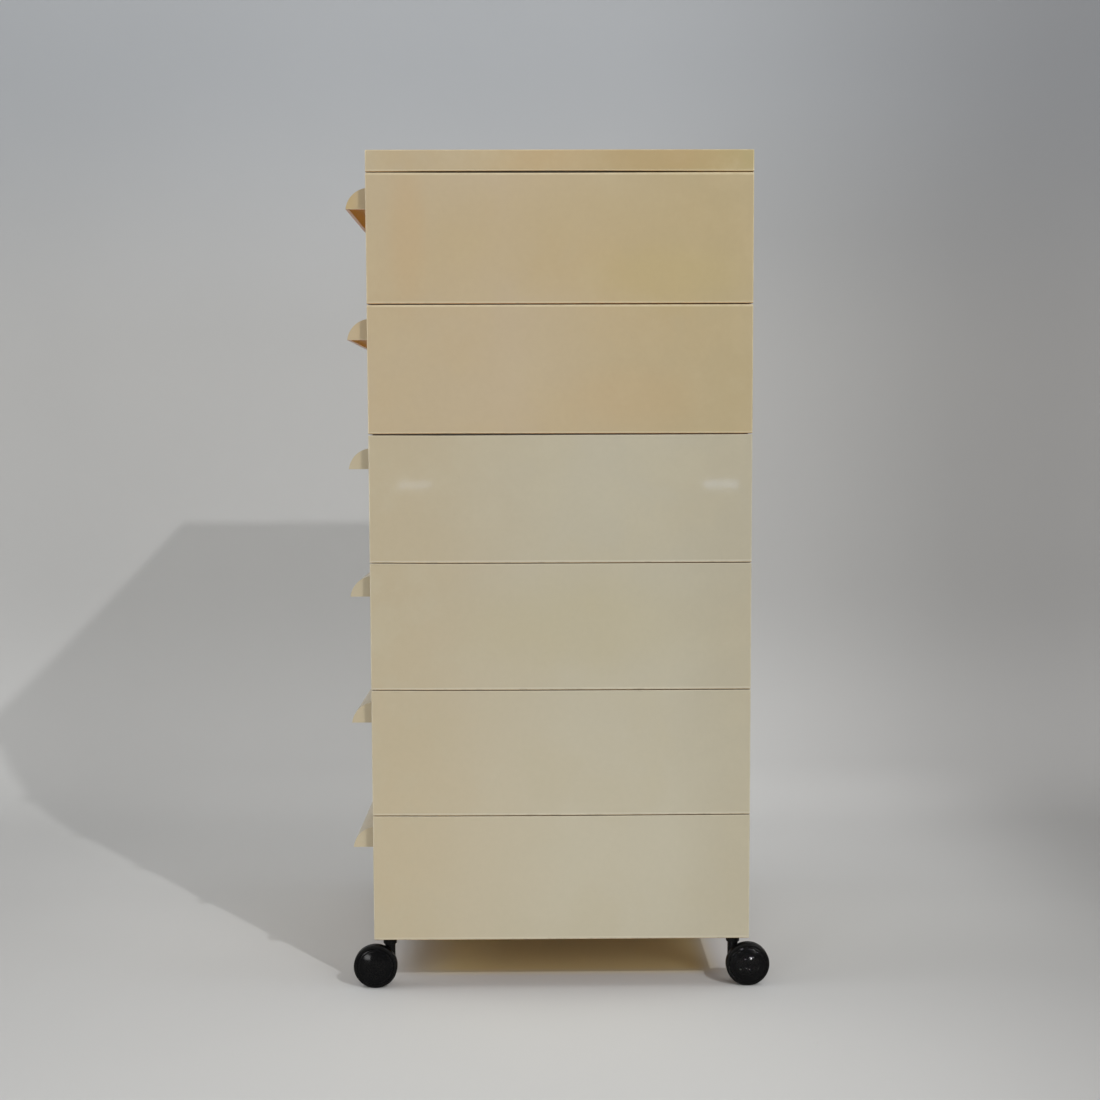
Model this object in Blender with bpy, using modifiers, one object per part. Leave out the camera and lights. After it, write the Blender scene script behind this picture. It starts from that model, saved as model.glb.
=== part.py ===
# Modular chest of drawers: six stacked plastic units, a top cover and four disc castors.
# Metres, +Z up. The origin is on the floor under the middle of the chest, and the drawers open to -Y.

import math

import bmesh
import bpy
from mathutils import Matrix

# Driving sizes of the chest
WIDTH = 0.420
DEPTH = 0.420
HEIGHT = 0.9265
UNIT_COUNT = 6
COVER_HEIGHT = 0.0235

# Unit shell
WALL = 0.004
FLOOR_THICKNESS = 0.003
FLOOR_RECESS = 0.004
SEAM_REVEAL = 0.0008
EDGE_RADIUS = 0.0012
FRONT_RAIL_THICKNESS = 0.004
FLANGE_WIDTH = 0.014
FLANGE_THICKNESS = 0.003
LIP_THICKNESS = 0.002
LIP_GAP = 0.0005
LEDGE_REACH = 0.018
LEDGE_THICKNESS = 0.003
STOP_RIB_LENGTH = 0.004
STOP_RIB_SETBACK = 0.0612

# Fits
REST_GAP = 0.0003
SLIDE_GAP = 0.0012
FRONT_SIDE_GAP = 0.0015
FRONT_TOP_GAP = 0.0015
FRONT_BOTTOM_GAP = 0.001
CLOSED_GAP = 0.0005
RUNNING_GAP = 0.0003
OVERRUN = 0.003
REST_GAP_SHARE = 100

# Drawer
FRONT_THICKNESS = 0.004
FRONT_EDGE_RADIUS = 0.0008
TRAY_WALL = 0.0025
TRAY_FLOOR = 0.0025
TRAY_FLOOR_GAP = 0.003
TRAY_BACK_GAP = 0.010
TRAY_SOCKET_GAP = 0.002
RIM_THICKNESS = 0.003
RIM_SIDE_GAP = 0.0035
EAR_LENGTH = 0.020
EAR_SIDE_GAP = 0.0008

# Pull: a quarter-round hood, open below
PULL_RADIUS = 0.026
PULL_CENTRE_SETBACK = 0.003
PULL_DROP = 0.038
PULL_WALL = 0.0035
PULL_INSET = 0.012
PULL_ARC_STEPS = 7

# Top cover
COVER_TOP_THICKNESS = 0.0035
COVER_RIB_THICKNESS = 0.0025
COVER_BAYS = 4

# Castor: one disc wheel beside the stem, on its outboard side
CASTOR_SIDE_INSET = 0.020
CASTOR_END_INSET = 0.016
CASTOR_TRAIL = 0.0155
SOCKET_RADIUS = 0.009
SOCKET_HEIGHT = 0.031
SOCKET_CAP = 0.0025
BUSH_RADIUS = 0.006
BUSH_LENGTH = 0.026
COLLAR_RADIUS = 0.007
COLLAR_HEIGHT = 0.0095
COLLAR_CHAMFER = 0.0012
PIN_RADIUS = 0.004
PIN_CHAMFER = 0.0008
PIN_GAP = 0.00025
PIN_IN_BODY = 0.022
STEM_RADIUS = 0.0055
STEM_FOOT = 0.016
ARM_RADIUS = 0.0175
ARM_HALF_THICKNESS = 0.004
AXLE_BOSS_RADIUS = 0.007
AXLE_RADIUS = 0.003
AXLE_GAP = 0.00015
AXLE_SET_BACK = 0.0005
WHEEL_RADIUS = 0.0245
WHEEL_HEADROOM = 0.008
WHEEL_TREAD = 0.009
WHEEL_EDGE = 0.0008
WHEEL_RIM = 0.0035
WHEEL_WEB = 0.0025
WHEEL_HUB_RADIUS = 0.0065
WHEEL_SIDE_GAP = 0.001
CAP_RADIUS = 0.0205
CAP_SEAT_DEPTH = 0.0015
CAP_BULGE = 0.0045
CAP_THICKNESS = 0.0016
CAP_SKIRT = 0.0025
WHEEL_STEPS = 32
ROUND_STEPS = 20

# Sizes that follow
GROUND_CLEARANCE = 2 * WHEEL_RADIUS + WHEEL_HEADROOM
COVER_BOTTOM = HEIGHT - COVER_HEIGHT
UNIT_PITCH = (COVER_BOTTOM - GROUND_CLEARANCE) / UNIT_COUNT
HALF_WIDTH = WIDTH / 2
HALF_DEPTH = DEPTH / 2
SHELL_HEIGHT = UNIT_PITCH - SEAM_REVEAL
INNER_HALF_WIDTH = HALF_WIDTH - WALL
INNER_BACK = HALF_DEPTH - WALL
FLOOR_TOP = FLOOR_RECESS + FLOOR_THICKNESS
FLANGE_BOTTOM = SHELL_HEIGHT - FLANGE_THICKNESS
RIM_TOP = FLANGE_BOTTOM - SLIDE_GAP
RIM_BOTTOM = RIM_TOP - RIM_THICKNESS
LEDGE_TOP = RIM_BOTTOM - REST_GAP
LEDGE_BOTTOM = LEDGE_TOP - LEDGE_THICKNESS
LEDGE_INNER = INNER_HALF_WIDTH - LEDGE_REACH
FLANGE_INNER = INNER_HALF_WIDTH - FLANGE_WIDTH
FRONT_BACK_FACE = -HALF_DEPTH + FRONT_THICKNESS
RUNNER_FRONT = FRONT_BACK_FACE + CLOSED_GAP
LIP_OUTER = INNER_HALF_WIDTH - LIP_GAP
LIP_INNER = LIP_OUTER - LIP_THICKNESS
LIP_BACK = INNER_BACK - LIP_GAP
LIP_TOP = UNIT_PITCH + FLOOR_RECESS - REST_GAP
TRAY_HALF_WIDTH = HALF_WIDTH - CASTOR_SIDE_INSET - SOCKET_RADIUS - TRAY_SOCKET_GAP
TRAY_BOTTOM = FLOOR_TOP + TRAY_FLOOR_GAP
TRAY_BACK = INNER_BACK - TRAY_BACK_GAP
RIM_OUTER = INNER_HALF_WIDTH - RIM_SIDE_GAP
EAR_OUTER = INNER_HALF_WIDTH - EAR_SIDE_GAP
EAR_FRONT = TRAY_BACK - EAR_LENGTH
STOP_RIB_BACK = RUNNER_FRONT + STOP_RIB_SETBACK
STOP_RIB_INNER = RIM_OUTER + RUNNING_GAP
FRONT_HALF_WIDTH = INNER_HALF_WIDTH - FRONT_SIDE_GAP
FRONT_BOTTOM = FLOOR_TOP + FRONT_BOTTOM_GAP
FRONT_TOP = UNIT_PITCH - FRONT_TOP_GAP
PULL_BOTTOM = UNIT_PITCH - PULL_DROP
PULL_HALF_WIDTH = HALF_WIDTH - PULL_INSET
STEM_TOP = GROUND_CLEARANCE - REST_GAP - COLLAR_HEIGHT - RUNNING_GAP
WHEEL_INNER_FACE = STEM_RADIUS + WHEEL_SIDE_GAP
WHEEL_OUTER_FACE = WHEEL_INNER_FACE + WHEEL_TREAD
CAP_SEAT = WHEEL_OUTER_FACE - CAP_SEAT_DEPTH
AXLE_TIP = CAP_SEAT - WHEEL_WEB
CASTOR_X = HALF_WIDTH - CASTOR_SIDE_INSET
CASTOR_Y = HALF_DEPTH - CASTOR_END_INSET

YELLOWED_CREAM = (0.46, 0.37, 0.22, 1.0)
PALE_CREAM = (0.44, 0.39, 0.27, 1.0)
BLACK = (0.010, 0.010, 0.011, 1.0)
STEEL = (0.55, 0.55, 0.56, 1.0)
YELLOWED_UNITS = 2


def new_collection(name):
    collection = bpy.data.collections.new(name)
    bpy.context.scene.collection.children.link(collection)
    return collection


def clear_scene():
    for old in list(bpy.data.objects):
        bpy.data.objects.remove(old, do_unlink=True)


def plastic(name, colour, roughness):
    material = bpy.data.materials.new(name)
    material.use_nodes = True
    shader = material.node_tree.nodes["Principled BSDF"]
    shader.inputs["Base Color"].default_value = colour
    shader.inputs["Roughness"].default_value = roughness
    return material


def steel(name):
    material = plastic(name, STEEL, 0.35)
    material.node_tree.nodes["Principled BSDF"].inputs["Metallic"].default_value = 1.0
    return material


def helper(name, mesh):
    """A blank or a cutter: it shapes the parts and isn't one itself."""
    made = bpy.data.objects.new(name, mesh)
    made.hide_render = True
    made.display_type = "WIRE"
    cutters.objects.link(made)
    return made


def blocks(name, corners):
    """One helper that holds a box for each pair of low and high corners."""
    shape = bmesh.new()
    for low, high in corners:
        for vert in bmesh.ops.create_cube(shape, size=1.0)["verts"]:
            vert.co = [high[i] if vert.co[i] > 0 else low[i] for i in range(3)]
    mesh = bpy.data.meshes.new(name)
    shape.to_mesh(mesh)
    shape.free()
    return helper(name, mesh)


def cylinder(name, radius, low, high, axis="Z", centre=(0.0, 0.0)):
    """A cylinder along Z or X, from low to high on that axis, around centre in the plane across it."""
    shape = bmesh.new()
    middle = (low + high) / 2
    if axis == "Z":
        place = Matrix.Translation((centre[0], centre[1], middle))
    else:
        place = Matrix.Translation((middle, centre[0], centre[1])) @ Matrix.Rotation(math.pi / 2, 4, "Y")
    bmesh.ops.create_cone(
        shape,
        cap_ends=True,
        segments=ROUND_STEPS,
        radius1=radius,
        radius2=radius,
        depth=high - low,
        matrix=place,
    )
    mesh = bpy.data.meshes.new(name)
    shape.to_mesh(mesh)
    shape.free()
    return helper(name, mesh)


def mesh_of(source, name):
    """A new mesh of an object with its modifiers applied."""
    bpy.context.view_layer.update()
    graph = bpy.context.evaluated_depsgraph_get()
    mesh = bpy.data.meshes.new_from_object(source.evaluated_get(graph))
    mesh.name = name
    return mesh


def extruded(name, outline, low, high, axis):
    """A closed outline drawn in the plane across X or Y, extruded from low to high along that axis."""
    shape = bmesh.new()
    ends = []
    for along in (low, high):
        if axis == "X":
            places = [(along, across, up) for across, up in outline]
        else:
            places = [(across, along, up) for across, up in outline]
        ends.append([shape.verts.new(place) for place in places])
    first, second = ends
    shape.faces.new(first)
    shape.faces.new(second)
    for step in range(len(outline)):
        shape.faces.new((first[step - 1], first[step], second[step], second[step - 1]))
    bmesh.ops.recalc_face_normals(shape, faces=shape.faces)
    mesh = bpy.data.meshes.new(name)
    shape.to_mesh(mesh)
    shape.free()
    return helper(name, mesh)


def bevelled(blank, width, segments):
    bevel = blank.modifiers.new("edges", "BEVEL")
    bevel.width = width
    bevel.segments = segments
    bevel.limit_method = "ANGLE"
    return blank


def boolean(blank, operation, *others):
    for other in others:
        step = blank.modifiers.new(other.name, "BOOLEAN")
        step.operation = operation
        step.solver = "EXACT"
        step.object = other
    return blank


def turned_mesh(name, profile, steps):
    """A profile of (radius, height) points, outer side downwards, turned about Z."""
    mesh = bpy.data.meshes.new(name + "_profile")
    count = len(profile)
    on_axis = profile[0][0] == 0.0 and profile[-1][0] == 0.0
    edges = [(i, i + 1) for i in range(count - 1)]
    if not on_axis:
        edges.append((count - 1, 0))
    mesh.from_pydata([(radius, 0.0, height) for radius, height in profile], edges, [])
    blank = helper(name + "_profile", mesh)
    screw = blank.modifiers.new("turn", "SCREW")
    screw.steps = steps
    screw.render_steps = steps
    screw.use_merge_vertices = True
    screw.merge_threshold = REST_GAP / REST_GAP_SHARE
    return smooth(mesh_of(blank, name))


def smooth(mesh):
    mesh.shade_smooth()
    mesh.set_sharp_from_angle(angle=math.radians(35.0))
    return mesh


def part(name, mesh, material, parent=None, location=(0.0, 0.0, 0.0)):
    made = bpy.data.objects.new(name, mesh)
    chest.objects.link(made)
    made.location = location
    made.parent = parent
    if not mesh.materials:
        mesh.materials.append(None)
    made.material_slots[0].link = "OBJECT"
    made.material_slots[0].material = material
    return made


def joint_empty(name, location, heading=0.0, parent=None):
    empty = bpy.data.objects.new(name, None)
    empty.location = location
    empty.rotation_euler = (0.0, 0.0, heading)
    empty.parent = parent
    empty.empty_display_size = WHEEL_TREAD
    chest.objects.link(empty)
    return empty


def unit_bottom(number):
    """Height of the bottom of unit 1 (the top one) to UNIT_COUNT (the lowest)."""
    return GROUND_CLEARANCE + (UNIT_COUNT - number) * UNIT_PITCH


def shell_blank(name):
    """Outer walls with the underside recess, the drawer space, the ledges and the flange cut free."""
    blank = blocks(
        name,
        [((-HALF_WIDTH, -HALF_DEPTH, 0.0), (HALF_WIDTH, HALF_DEPTH, SHELL_HEIGHT))],
    )
    bevelled(blank, EDGE_RADIUS, 2)
    recess = blocks(
        name + "_recess",
        [
            (
                (-INNER_HALF_WIDTH, -HALF_DEPTH + FRONT_RAIL_THICKNESS, -OVERRUN),
                (INNER_HALF_WIDTH, INNER_BACK, FLOOR_RECESS),
            )
        ],
    )
    right_side = [
        (INNER_HALF_WIDTH, FLOOR_TOP),
        (INNER_HALF_WIDTH, LEDGE_BOTTOM),
        (LEDGE_INNER, LEDGE_BOTTOM),
        (LEDGE_INNER, LEDGE_TOP),
        (INNER_HALF_WIDTH, LEDGE_TOP),
        (INNER_HALF_WIDTH, FLANGE_BOTTOM),
    ]
    left_side = [(-across, up) for across, up in reversed(right_side)]
    space = extruded(name + "_drawer_space", right_side + left_side, RUNNER_FRONT, INNER_BACK, "Y")
    mouth = blocks(
        name + "_mouth",
        [
            (
                (-INNER_HALF_WIDTH, -HALF_DEPTH - OVERRUN, FLOOR_TOP),
                (INNER_HALF_WIDTH, RUNNER_FRONT, SHELL_HEIGHT + OVERRUN),
            )
        ],
    )
    top_opening = blocks(
        name + "_top_opening",
        [
            (
                (-FLANGE_INNER, RUNNER_FRONT - OVERRUN, FLANGE_BOTTOM - OVERRUN),
                (FLANGE_INNER, INNER_BACK - FLANGE_WIDTH, SHELL_HEIGHT + OVERRUN),
            )
        ],
    )
    boolean(blank, "DIFFERENCE", recess, space, mouth, top_opening)
    boolean(blank, "UNION", locating_lip(name), stop_ribs(name))
    return blank


def locating_lip(name):
    """A lip on the flange that centres the unit above, along both sides and the back."""
    lip = blocks(
        name + "_lip",
        [((-LIP_OUTER, RUNNER_FRONT, FLANGE_BOTTOM + REST_GAP), (LIP_OUTER, LIP_BACK, LIP_TOP))],
    )
    inside = blocks(
        name + "_lip_inside",
        [
            (
                (-LIP_INNER, RUNNER_FRONT - OVERRUN, FLANGE_BOTTOM - OVERRUN),
                (LIP_INNER, LIP_BACK - LIP_THICKNESS, LIP_TOP + OVERRUN),
            )
        ],
    )
    return boolean(lip, "DIFFERENCE", inside)


def stop_ribs(name):
    """One rib on each side wall, above the ledge, that the drawer's ears meet when it is fully open."""
    corners = []
    for side in (-1, 1):
        across = sorted((side * STOP_RIB_INNER, side * (INNER_HALF_WIDTH + WALL / 2)))
        corners.append(
            (
                (across[0], STOP_RIB_BACK - STOP_RIB_LENGTH, LEDGE_TOP - LEDGE_THICKNESS / 2),
                (across[1], STOP_RIB_BACK, FLANGE_BOTTOM + FLANGE_THICKNESS / 2),
            )
        )
    return blocks(name + "_stop_ribs", corners)


def socket_places():
    return [(side * CASTOR_X, end * CASTOR_Y) for side in (-1, 1) for end in (-1, 1)]


def base_shell_blank(name):
    """The lowest shell also has a socket for a castor bush in each corner."""
    blank = shell_blank(name)
    for number, place in enumerate(socket_places()):
        boss = cylinder(f"{name}_socket_{number}", SOCKET_RADIUS, 0.0, SOCKET_HEIGHT, "Z", place)
        boolean(blank, "UNION", boss)
    for number, place in enumerate(socket_places()):
        bore = cylinder(
            f"{name}_bore_{number}",
            BUSH_RADIUS + REST_GAP,
            -OVERRUN,
            SOCKET_HEIGHT - SOCKET_CAP,
            "Z",
            place,
        )
        boolean(blank, "DIFFERENCE", bore)
    return blank


def pull_outline(radius, bottom):
    """Quarter-round section of the pull around its centre, from the front panel down to bottom."""
    centre_y = -HALF_DEPTH + PULL_CENTRE_SETBACK
    centre_z = PULL_BOTTOM - PULL_CENTRE_SETBACK
    start = math.asin(PULL_CENTRE_SETBACK / radius)
    end = math.pi / 2 - start
    arc = []
    for step in range(PULL_ARC_STEPS + 1):
        angle = start + (end - start) * step / PULL_ARC_STEPS
        arc.append((centre_y - radius * math.cos(angle), centre_z + radius * math.sin(angle)))
    lip = [(arc[0][0], bottom)] if bottom < PULL_BOTTOM else []
    return arc, lip


def pull_solid(name):
    arc, _ = pull_outline(PULL_RADIUS, PULL_BOTTOM)
    inside_front = -HALF_DEPTH + FRONT_THICKNESS / 2
    outline = arc + [(inside_front, arc[-1][1]), (inside_front, PULL_BOTTOM)]
    return extruded(name + "_pull", outline, -PULL_HALF_WIDTH, PULL_HALF_WIDTH, "X")


def pull_hollow(name):
    bottom = PULL_BOTTOM - OVERRUN
    arc, lip = pull_outline(PULL_RADIUS - PULL_WALL, bottom)
    outline = lip + arc + [(-HALF_DEPTH, bottom)]
    half = PULL_HALF_WIDTH - PULL_WALL
    return extruded(name + "_pull_hollow", outline, -half, half, "X")


def drawer_blank(name):
    """Front panel, tray, side rims with stop ears, and the pull, as one moulding."""
    panel = blocks(
        name,
        [((-FRONT_HALF_WIDTH, -HALF_DEPTH, FRONT_BOTTOM), (FRONT_HALF_WIDTH, FRONT_BACK_FACE, FRONT_TOP))],
    )
    bevelled(panel, FRONT_EDGE_RADIUS, 2)
    tray_front = FRONT_BACK_FACE - FRONT_THICKNESS / 2
    tray = blocks(
        name + "_tray",
        [((-TRAY_HALF_WIDTH, tray_front, TRAY_BOTTOM), (TRAY_HALF_WIDTH, TRAY_BACK, RIM_TOP))],
    )
    rim = blocks(
        name + "_rim",
        [((-RIM_OUTER, tray_front, RIM_BOTTOM), (RIM_OUTER, TRAY_BACK - TRAY_WALL / 2, RIM_TOP))],
    )
    ears = blocks(
        name + "_ears",
        [((-EAR_OUTER, EAR_FRONT, RIM_BOTTOM), (EAR_OUTER, TRAY_BACK - TRAY_WALL / 2, RIM_TOP))],
    )
    inside = blocks(
        name + "_inside",
        [
            (
                (-TRAY_HALF_WIDTH + TRAY_WALL, FRONT_BACK_FACE, TRAY_BOTTOM + TRAY_FLOOR),
                (TRAY_HALF_WIDTH - TRAY_WALL, TRAY_BACK - TRAY_WALL, RIM_TOP + OVERRUN),
            )
        ],
    )
    boolean(panel, "UNION", tray, rim, ears, pull_solid(name))
    boolean(panel, "DIFFERENCE", inside, pull_hollow(name))
    return panel


def cover_blank(name):
    """A shallow cap with crossed ribs below its top, which rest on the lip of the top unit."""
    blank = blocks(name, [((-HALF_WIDTH, -HALF_DEPTH, 0.0), (HALF_WIDTH, HALF_DEPTH, COVER_HEIGHT))])
    bevelled(blank, EDGE_RADIUS, 2)
    recess = blocks(
        name + "_recess",
        [((-INNER_HALF_WIDTH, -INNER_BACK, -OVERRUN), (INNER_HALF_WIDTH, INNER_BACK, FLOOR_RECESS))],
    )
    bay_x = (2 * INNER_HALF_WIDTH + COVER_RIB_THICKNESS) / COVER_BAYS
    bay_y = (2 * INNER_BACK + COVER_RIB_THICKNESS) / COVER_BAYS
    corners = []
    for column in range(COVER_BAYS):
        for row in range(COVER_BAYS):
            low_x = -INNER_HALF_WIDTH + column * bay_x
            low_y = -INNER_BACK + row * bay_y
            corners.append(
                (
                    (low_x, low_y, FLOOR_RECESS - REST_GAP),
                    (
                        low_x + bay_x - COVER_RIB_THICKNESS,
                        low_y + bay_y - COVER_RIB_THICKNESS,
                        COVER_HEIGHT - COVER_TOP_THICKNESS,
                    ),
                )
            )
    return boolean(blank, "DIFFERENCE", recess, blocks(name + "_bays", corners))


def bush_mesh():
    """Collar below the shell and sleeve in its socket, with a running bore for the pin."""
    bottom = GROUND_CLEARANCE - REST_GAP - COLLAR_HEIGHT
    shoulder = GROUND_CLEARANCE - REST_GAP
    top = shoulder + BUSH_LENGTH
    bore = PIN_RADIUS + PIN_GAP
    profile = [
        (bore, top),
        (BUSH_RADIUS, top),
        (BUSH_RADIUS, shoulder),
        (COLLAR_RADIUS, shoulder),
        (COLLAR_RADIUS, bottom + COLLAR_CHAMFER),
        (COLLAR_RADIUS - COLLAR_CHAMFER, bottom),
        (bore, bottom),
    ]
    return turned_mesh("castor_bush", profile, ROUND_STEPS)


def pin_mesh():
    """Steel pin, half in the castor body and half in the bush."""
    top = GROUND_CLEARANCE - REST_GAP + BUSH_LENGTH
    bottom = STEM_TOP - PIN_IN_BODY
    profile = [
        (0.0, top),
        (PIN_RADIUS - PIN_CHAMFER, top),
        (PIN_RADIUS, top - PIN_CHAMFER),
        (PIN_RADIUS, bottom + PIN_CHAMFER),
        (PIN_RADIUS - PIN_CHAMFER, bottom),
        (0.0, bottom),
    ]
    return turned_mesh("castor_pin", profile, ROUND_STEPS)


def body_mesh(outboard):
    """Stem tube, arm and axle boss. The stem is at the origin, the axle trails to -Y, and outboard is 1 or
    -1 for a wheel on the +X or -X side."""
    axle = (-CASTOR_TRAIL, WHEEL_RADIUS)
    stem = cylinder("castor_body_blank", STEM_RADIUS, STEM_FOOT, STEM_TOP)
    arm = cylinder("castor_arm", ARM_RADIUS, -ARM_HALF_THICKNESS, ARM_HALF_THICKNESS, "X", axle)
    boss_ends = sorted((-outboard * STEM_RADIUS, outboard * (WHEEL_INNER_FACE - RUNNING_GAP)))
    boss = cylinder("castor_axle_boss", AXLE_BOSS_RADIUS, *boss_ends, "X", axle)
    pin_hole = cylinder(
        "castor_pin_hole",
        PIN_RADIUS + PIN_GAP,
        STEM_TOP - PIN_IN_BODY - REST_GAP,
        STEM_TOP + OVERRUN,
    )
    reach = WHEEL_INNER_FACE + OVERRUN
    axle_hole = cylinder("castor_axle_hole", AXLE_RADIUS + AXLE_GAP, -reach, reach, "X", axle)
    boolean(stem, "UNION", arm, boss)
    boolean(stem, "DIFFERENCE", pin_hole, axle_hole)
    return smooth(mesh_of(stem, "castor_body"))


def axle_mesh():
    """Steel axle about Z, from the back of the boss to the wheel's hub."""
    foot = -STEM_RADIUS + AXLE_SET_BACK
    tip = AXLE_TIP - REST_GAP
    profile = [(0.0, tip), (AXLE_RADIUS, tip), (AXLE_RADIUS, foot), (0.0, foot)]
    return turned_mesh("castor_axle", profile, ROUND_STEPS)


def wheel_mesh():
    """Disc wheel about Z, outer side upwards: a seat for the cap, a hub with a blind bore, a hollow back."""
    bore = AXLE_RADIUS + AXLE_GAP
    hollow = WHEEL_RADIUS - WHEEL_RIM
    seat_radius = CAP_RADIUS + REST_GAP
    profile = [
        (0.0, CAP_SEAT),
        (seat_radius, CAP_SEAT),
        (seat_radius, WHEEL_OUTER_FACE),
        (WHEEL_RADIUS - WHEEL_EDGE, WHEEL_OUTER_FACE),
        (WHEEL_RADIUS, WHEEL_OUTER_FACE - WHEEL_EDGE),
        (WHEEL_RADIUS, WHEEL_INNER_FACE + WHEEL_EDGE),
        (WHEEL_RADIUS - WHEEL_EDGE, WHEEL_INNER_FACE),
        (hollow, WHEEL_INNER_FACE),
        (hollow, AXLE_TIP),
        (WHEEL_HUB_RADIUS, AXLE_TIP),
        (WHEEL_HUB_RADIUS, WHEEL_INNER_FACE),
        (bore, WHEEL_INNER_FACE),
        (bore, AXLE_TIP),
        (0.0, AXLE_TIP),
    ]
    return turned_mesh("castor_wheel", profile, WHEEL_STEPS)


def cap_mesh():
    """Domed cap about Z that sits in the wheel's outer side, hollow below."""
    bottom = CAP_SEAT + REST_GAP
    inside = CAP_RADIUS - CAP_SKIRT
    dome_radius_shares = (0.0, 0.35, 0.65, 0.85, 1.0)
    dome = []
    roof = []
    for share in dome_radius_shares:
        rise = CAP_BULGE * (1.0 - share * share)
        dome.append((share * CAP_RADIUS, WHEEL_OUTER_FACE + rise))
        roof.append((share * inside, WHEEL_OUTER_FACE + rise - CAP_THICKNESS))
    roof[-1] = (inside, WHEEL_OUTER_FACE - CAP_THICKNESS + CAP_BULGE / len(dome))
    profile = dome + [(CAP_RADIUS, bottom), (inside, bottom)] + list(reversed(roof))
    return turned_mesh("castor_cap", profile, WHEEL_STEPS)


def build_units():
    shell_mesh = mesh_of(shell_blank("shell_blank"), "shell")
    base_mesh = mesh_of(base_shell_blank("base_shell_blank"), "base_shell")
    drawer_mesh = mesh_of(drawer_blank("drawer_blank"), "drawer")
    for number in range(1, UNIT_COUNT + 1):
        place = (0.0, 0.0, unit_bottom(number))
        colour = YELLOWED_CREAM if number <= YELLOWED_UNITS else PALE_CREAM
        mesh = base_mesh if number == UNIT_COUNT else shell_mesh
        part(f"shell_{number}", mesh, plastic(f"shell_{number}_abs", colour, 0.32), None, place)
        slide = joint_empty(f"drawer_{number}_slide", place)
        part(f"drawer_{number}", drawer_mesh, plastic(f"drawer_{number}_abs", colour, 0.32), slide)
    cover = mesh_of(cover_blank("cover_blank"), "cover")
    place = (0.0, 0.0, COVER_BOTTOM)
    part("top_cover", cover, plastic("top_cover_abs", YELLOWED_CREAM, 0.32), None, place)


def build_castor(corner, side, end, meshes):
    """side is -1 for left and 1 for right, end is -1 for front and 1 for back. It trails outwards."""
    bush, pin, bodies, axle, wheel, cap = meshes
    stem = (side * CASTOR_X, end * CASTOR_Y, 0.0)
    outboard = -side * end
    name = f"{corner}_castor"
    part(f"{name}_bush", bush, plastic(f"{name}_bush_nylon", BLACK, 0.4), None, stem)
    swivel = joint_empty(f"{name}_swivel", stem, math.pi if end > 0 else 0.0)
    part(f"{name}_pin", pin, steel(f"{name}_pin_steel"), swivel)
    part(f"{name}_body", bodies[outboard], plastic(f"{name}_body_nylon", BLACK, 0.35), swivel)
    axle_place = (0.0, -CASTOR_TRAIL, WHEEL_RADIUS)
    rod = part(f"{name}_axle", axle, steel(f"{name}_axle_steel"), swivel, axle_place)
    spin = joint_empty(f"{name}_spin", axle_place, 0.0, swivel)
    disc = part(f"{name}_wheel", wheel, plastic(f"{name}_wheel_nylon", BLACK, 0.25), spin)
    cover = part(f"{name}_cap", cap, plastic(f"{name}_cap_nylon", BLACK, 0.2), spin)
    for turned in (rod, disc, cover):
        turned.rotation_euler = (0.0, outboard * math.pi / 2, 0.0)


def build_castors():
    bodies = {1: body_mesh(1), -1: body_mesh(-1)}
    meshes = (bush_mesh(), pin_mesh(), bodies, axle_mesh(), wheel_mesh(), cap_mesh())
    for end, end_name in ((-1, "front"), (1, "back")):
        for side, side_name in ((-1, "left"), (1, "right")):
            build_castor(f"{end_name}_{side_name}", side, end, meshes)


clear_scene()
chest = new_collection("modular_chest_of_drawers")
cutters = new_collection("cutters")
build_units()
build_castors()
bpy.context.view_layer.update()
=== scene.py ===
# Modular chest of drawers: aged ABS units and nylon castors on a paper sweep, seen from its side
import math

import bmesh
import bpy
from mathutils import Matrix, Vector


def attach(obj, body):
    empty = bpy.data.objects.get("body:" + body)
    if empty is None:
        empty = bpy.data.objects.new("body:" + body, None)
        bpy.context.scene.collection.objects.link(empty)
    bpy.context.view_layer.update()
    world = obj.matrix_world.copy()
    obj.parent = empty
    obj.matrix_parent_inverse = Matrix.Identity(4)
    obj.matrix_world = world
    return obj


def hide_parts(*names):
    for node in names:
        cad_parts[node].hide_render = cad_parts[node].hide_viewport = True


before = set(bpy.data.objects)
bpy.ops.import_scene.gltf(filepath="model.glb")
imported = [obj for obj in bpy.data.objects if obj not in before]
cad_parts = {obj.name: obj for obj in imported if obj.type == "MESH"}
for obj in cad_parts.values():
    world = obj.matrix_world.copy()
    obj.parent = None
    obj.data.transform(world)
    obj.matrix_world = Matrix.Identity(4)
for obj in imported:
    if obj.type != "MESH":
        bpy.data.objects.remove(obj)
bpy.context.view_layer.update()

# Outside sizes shared by the whole chest, in metres, +Z up, drawers opening to -Y
chest = {
    "halfWidth": 0.210,
    "halfDepth": 0.210,
    "top": 0.9265,
    "coverBottom": 0.903,
    "pitch": 0.141,
    "ground": 0.057,
    "units": 6,
    "wall": 0.004,
    "castorSide": 0.190,     # castor stems from the middle, across and along
    "castorEnd": 0.194,
    "ageingTop": 2,          # units from the top that have yellowed most
}

benchObjects = []
mergeDistance = 0.000004
past = 0.003                 # how far a cutter reaches beyond what it cuts


def linear(hexColour):
    # sRGB hex to the linear RGBA that the shader sockets take
    channels = [int(hexColour[i:i + 2], 16) / 255 for i in (1, 3, 5)]
    straight = [c / 12.92 if c <= 0.04045 else ((c + 0.055) / 1.055) ** 2.4 for c in channels]
    return (*straight, 1.0)


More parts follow.
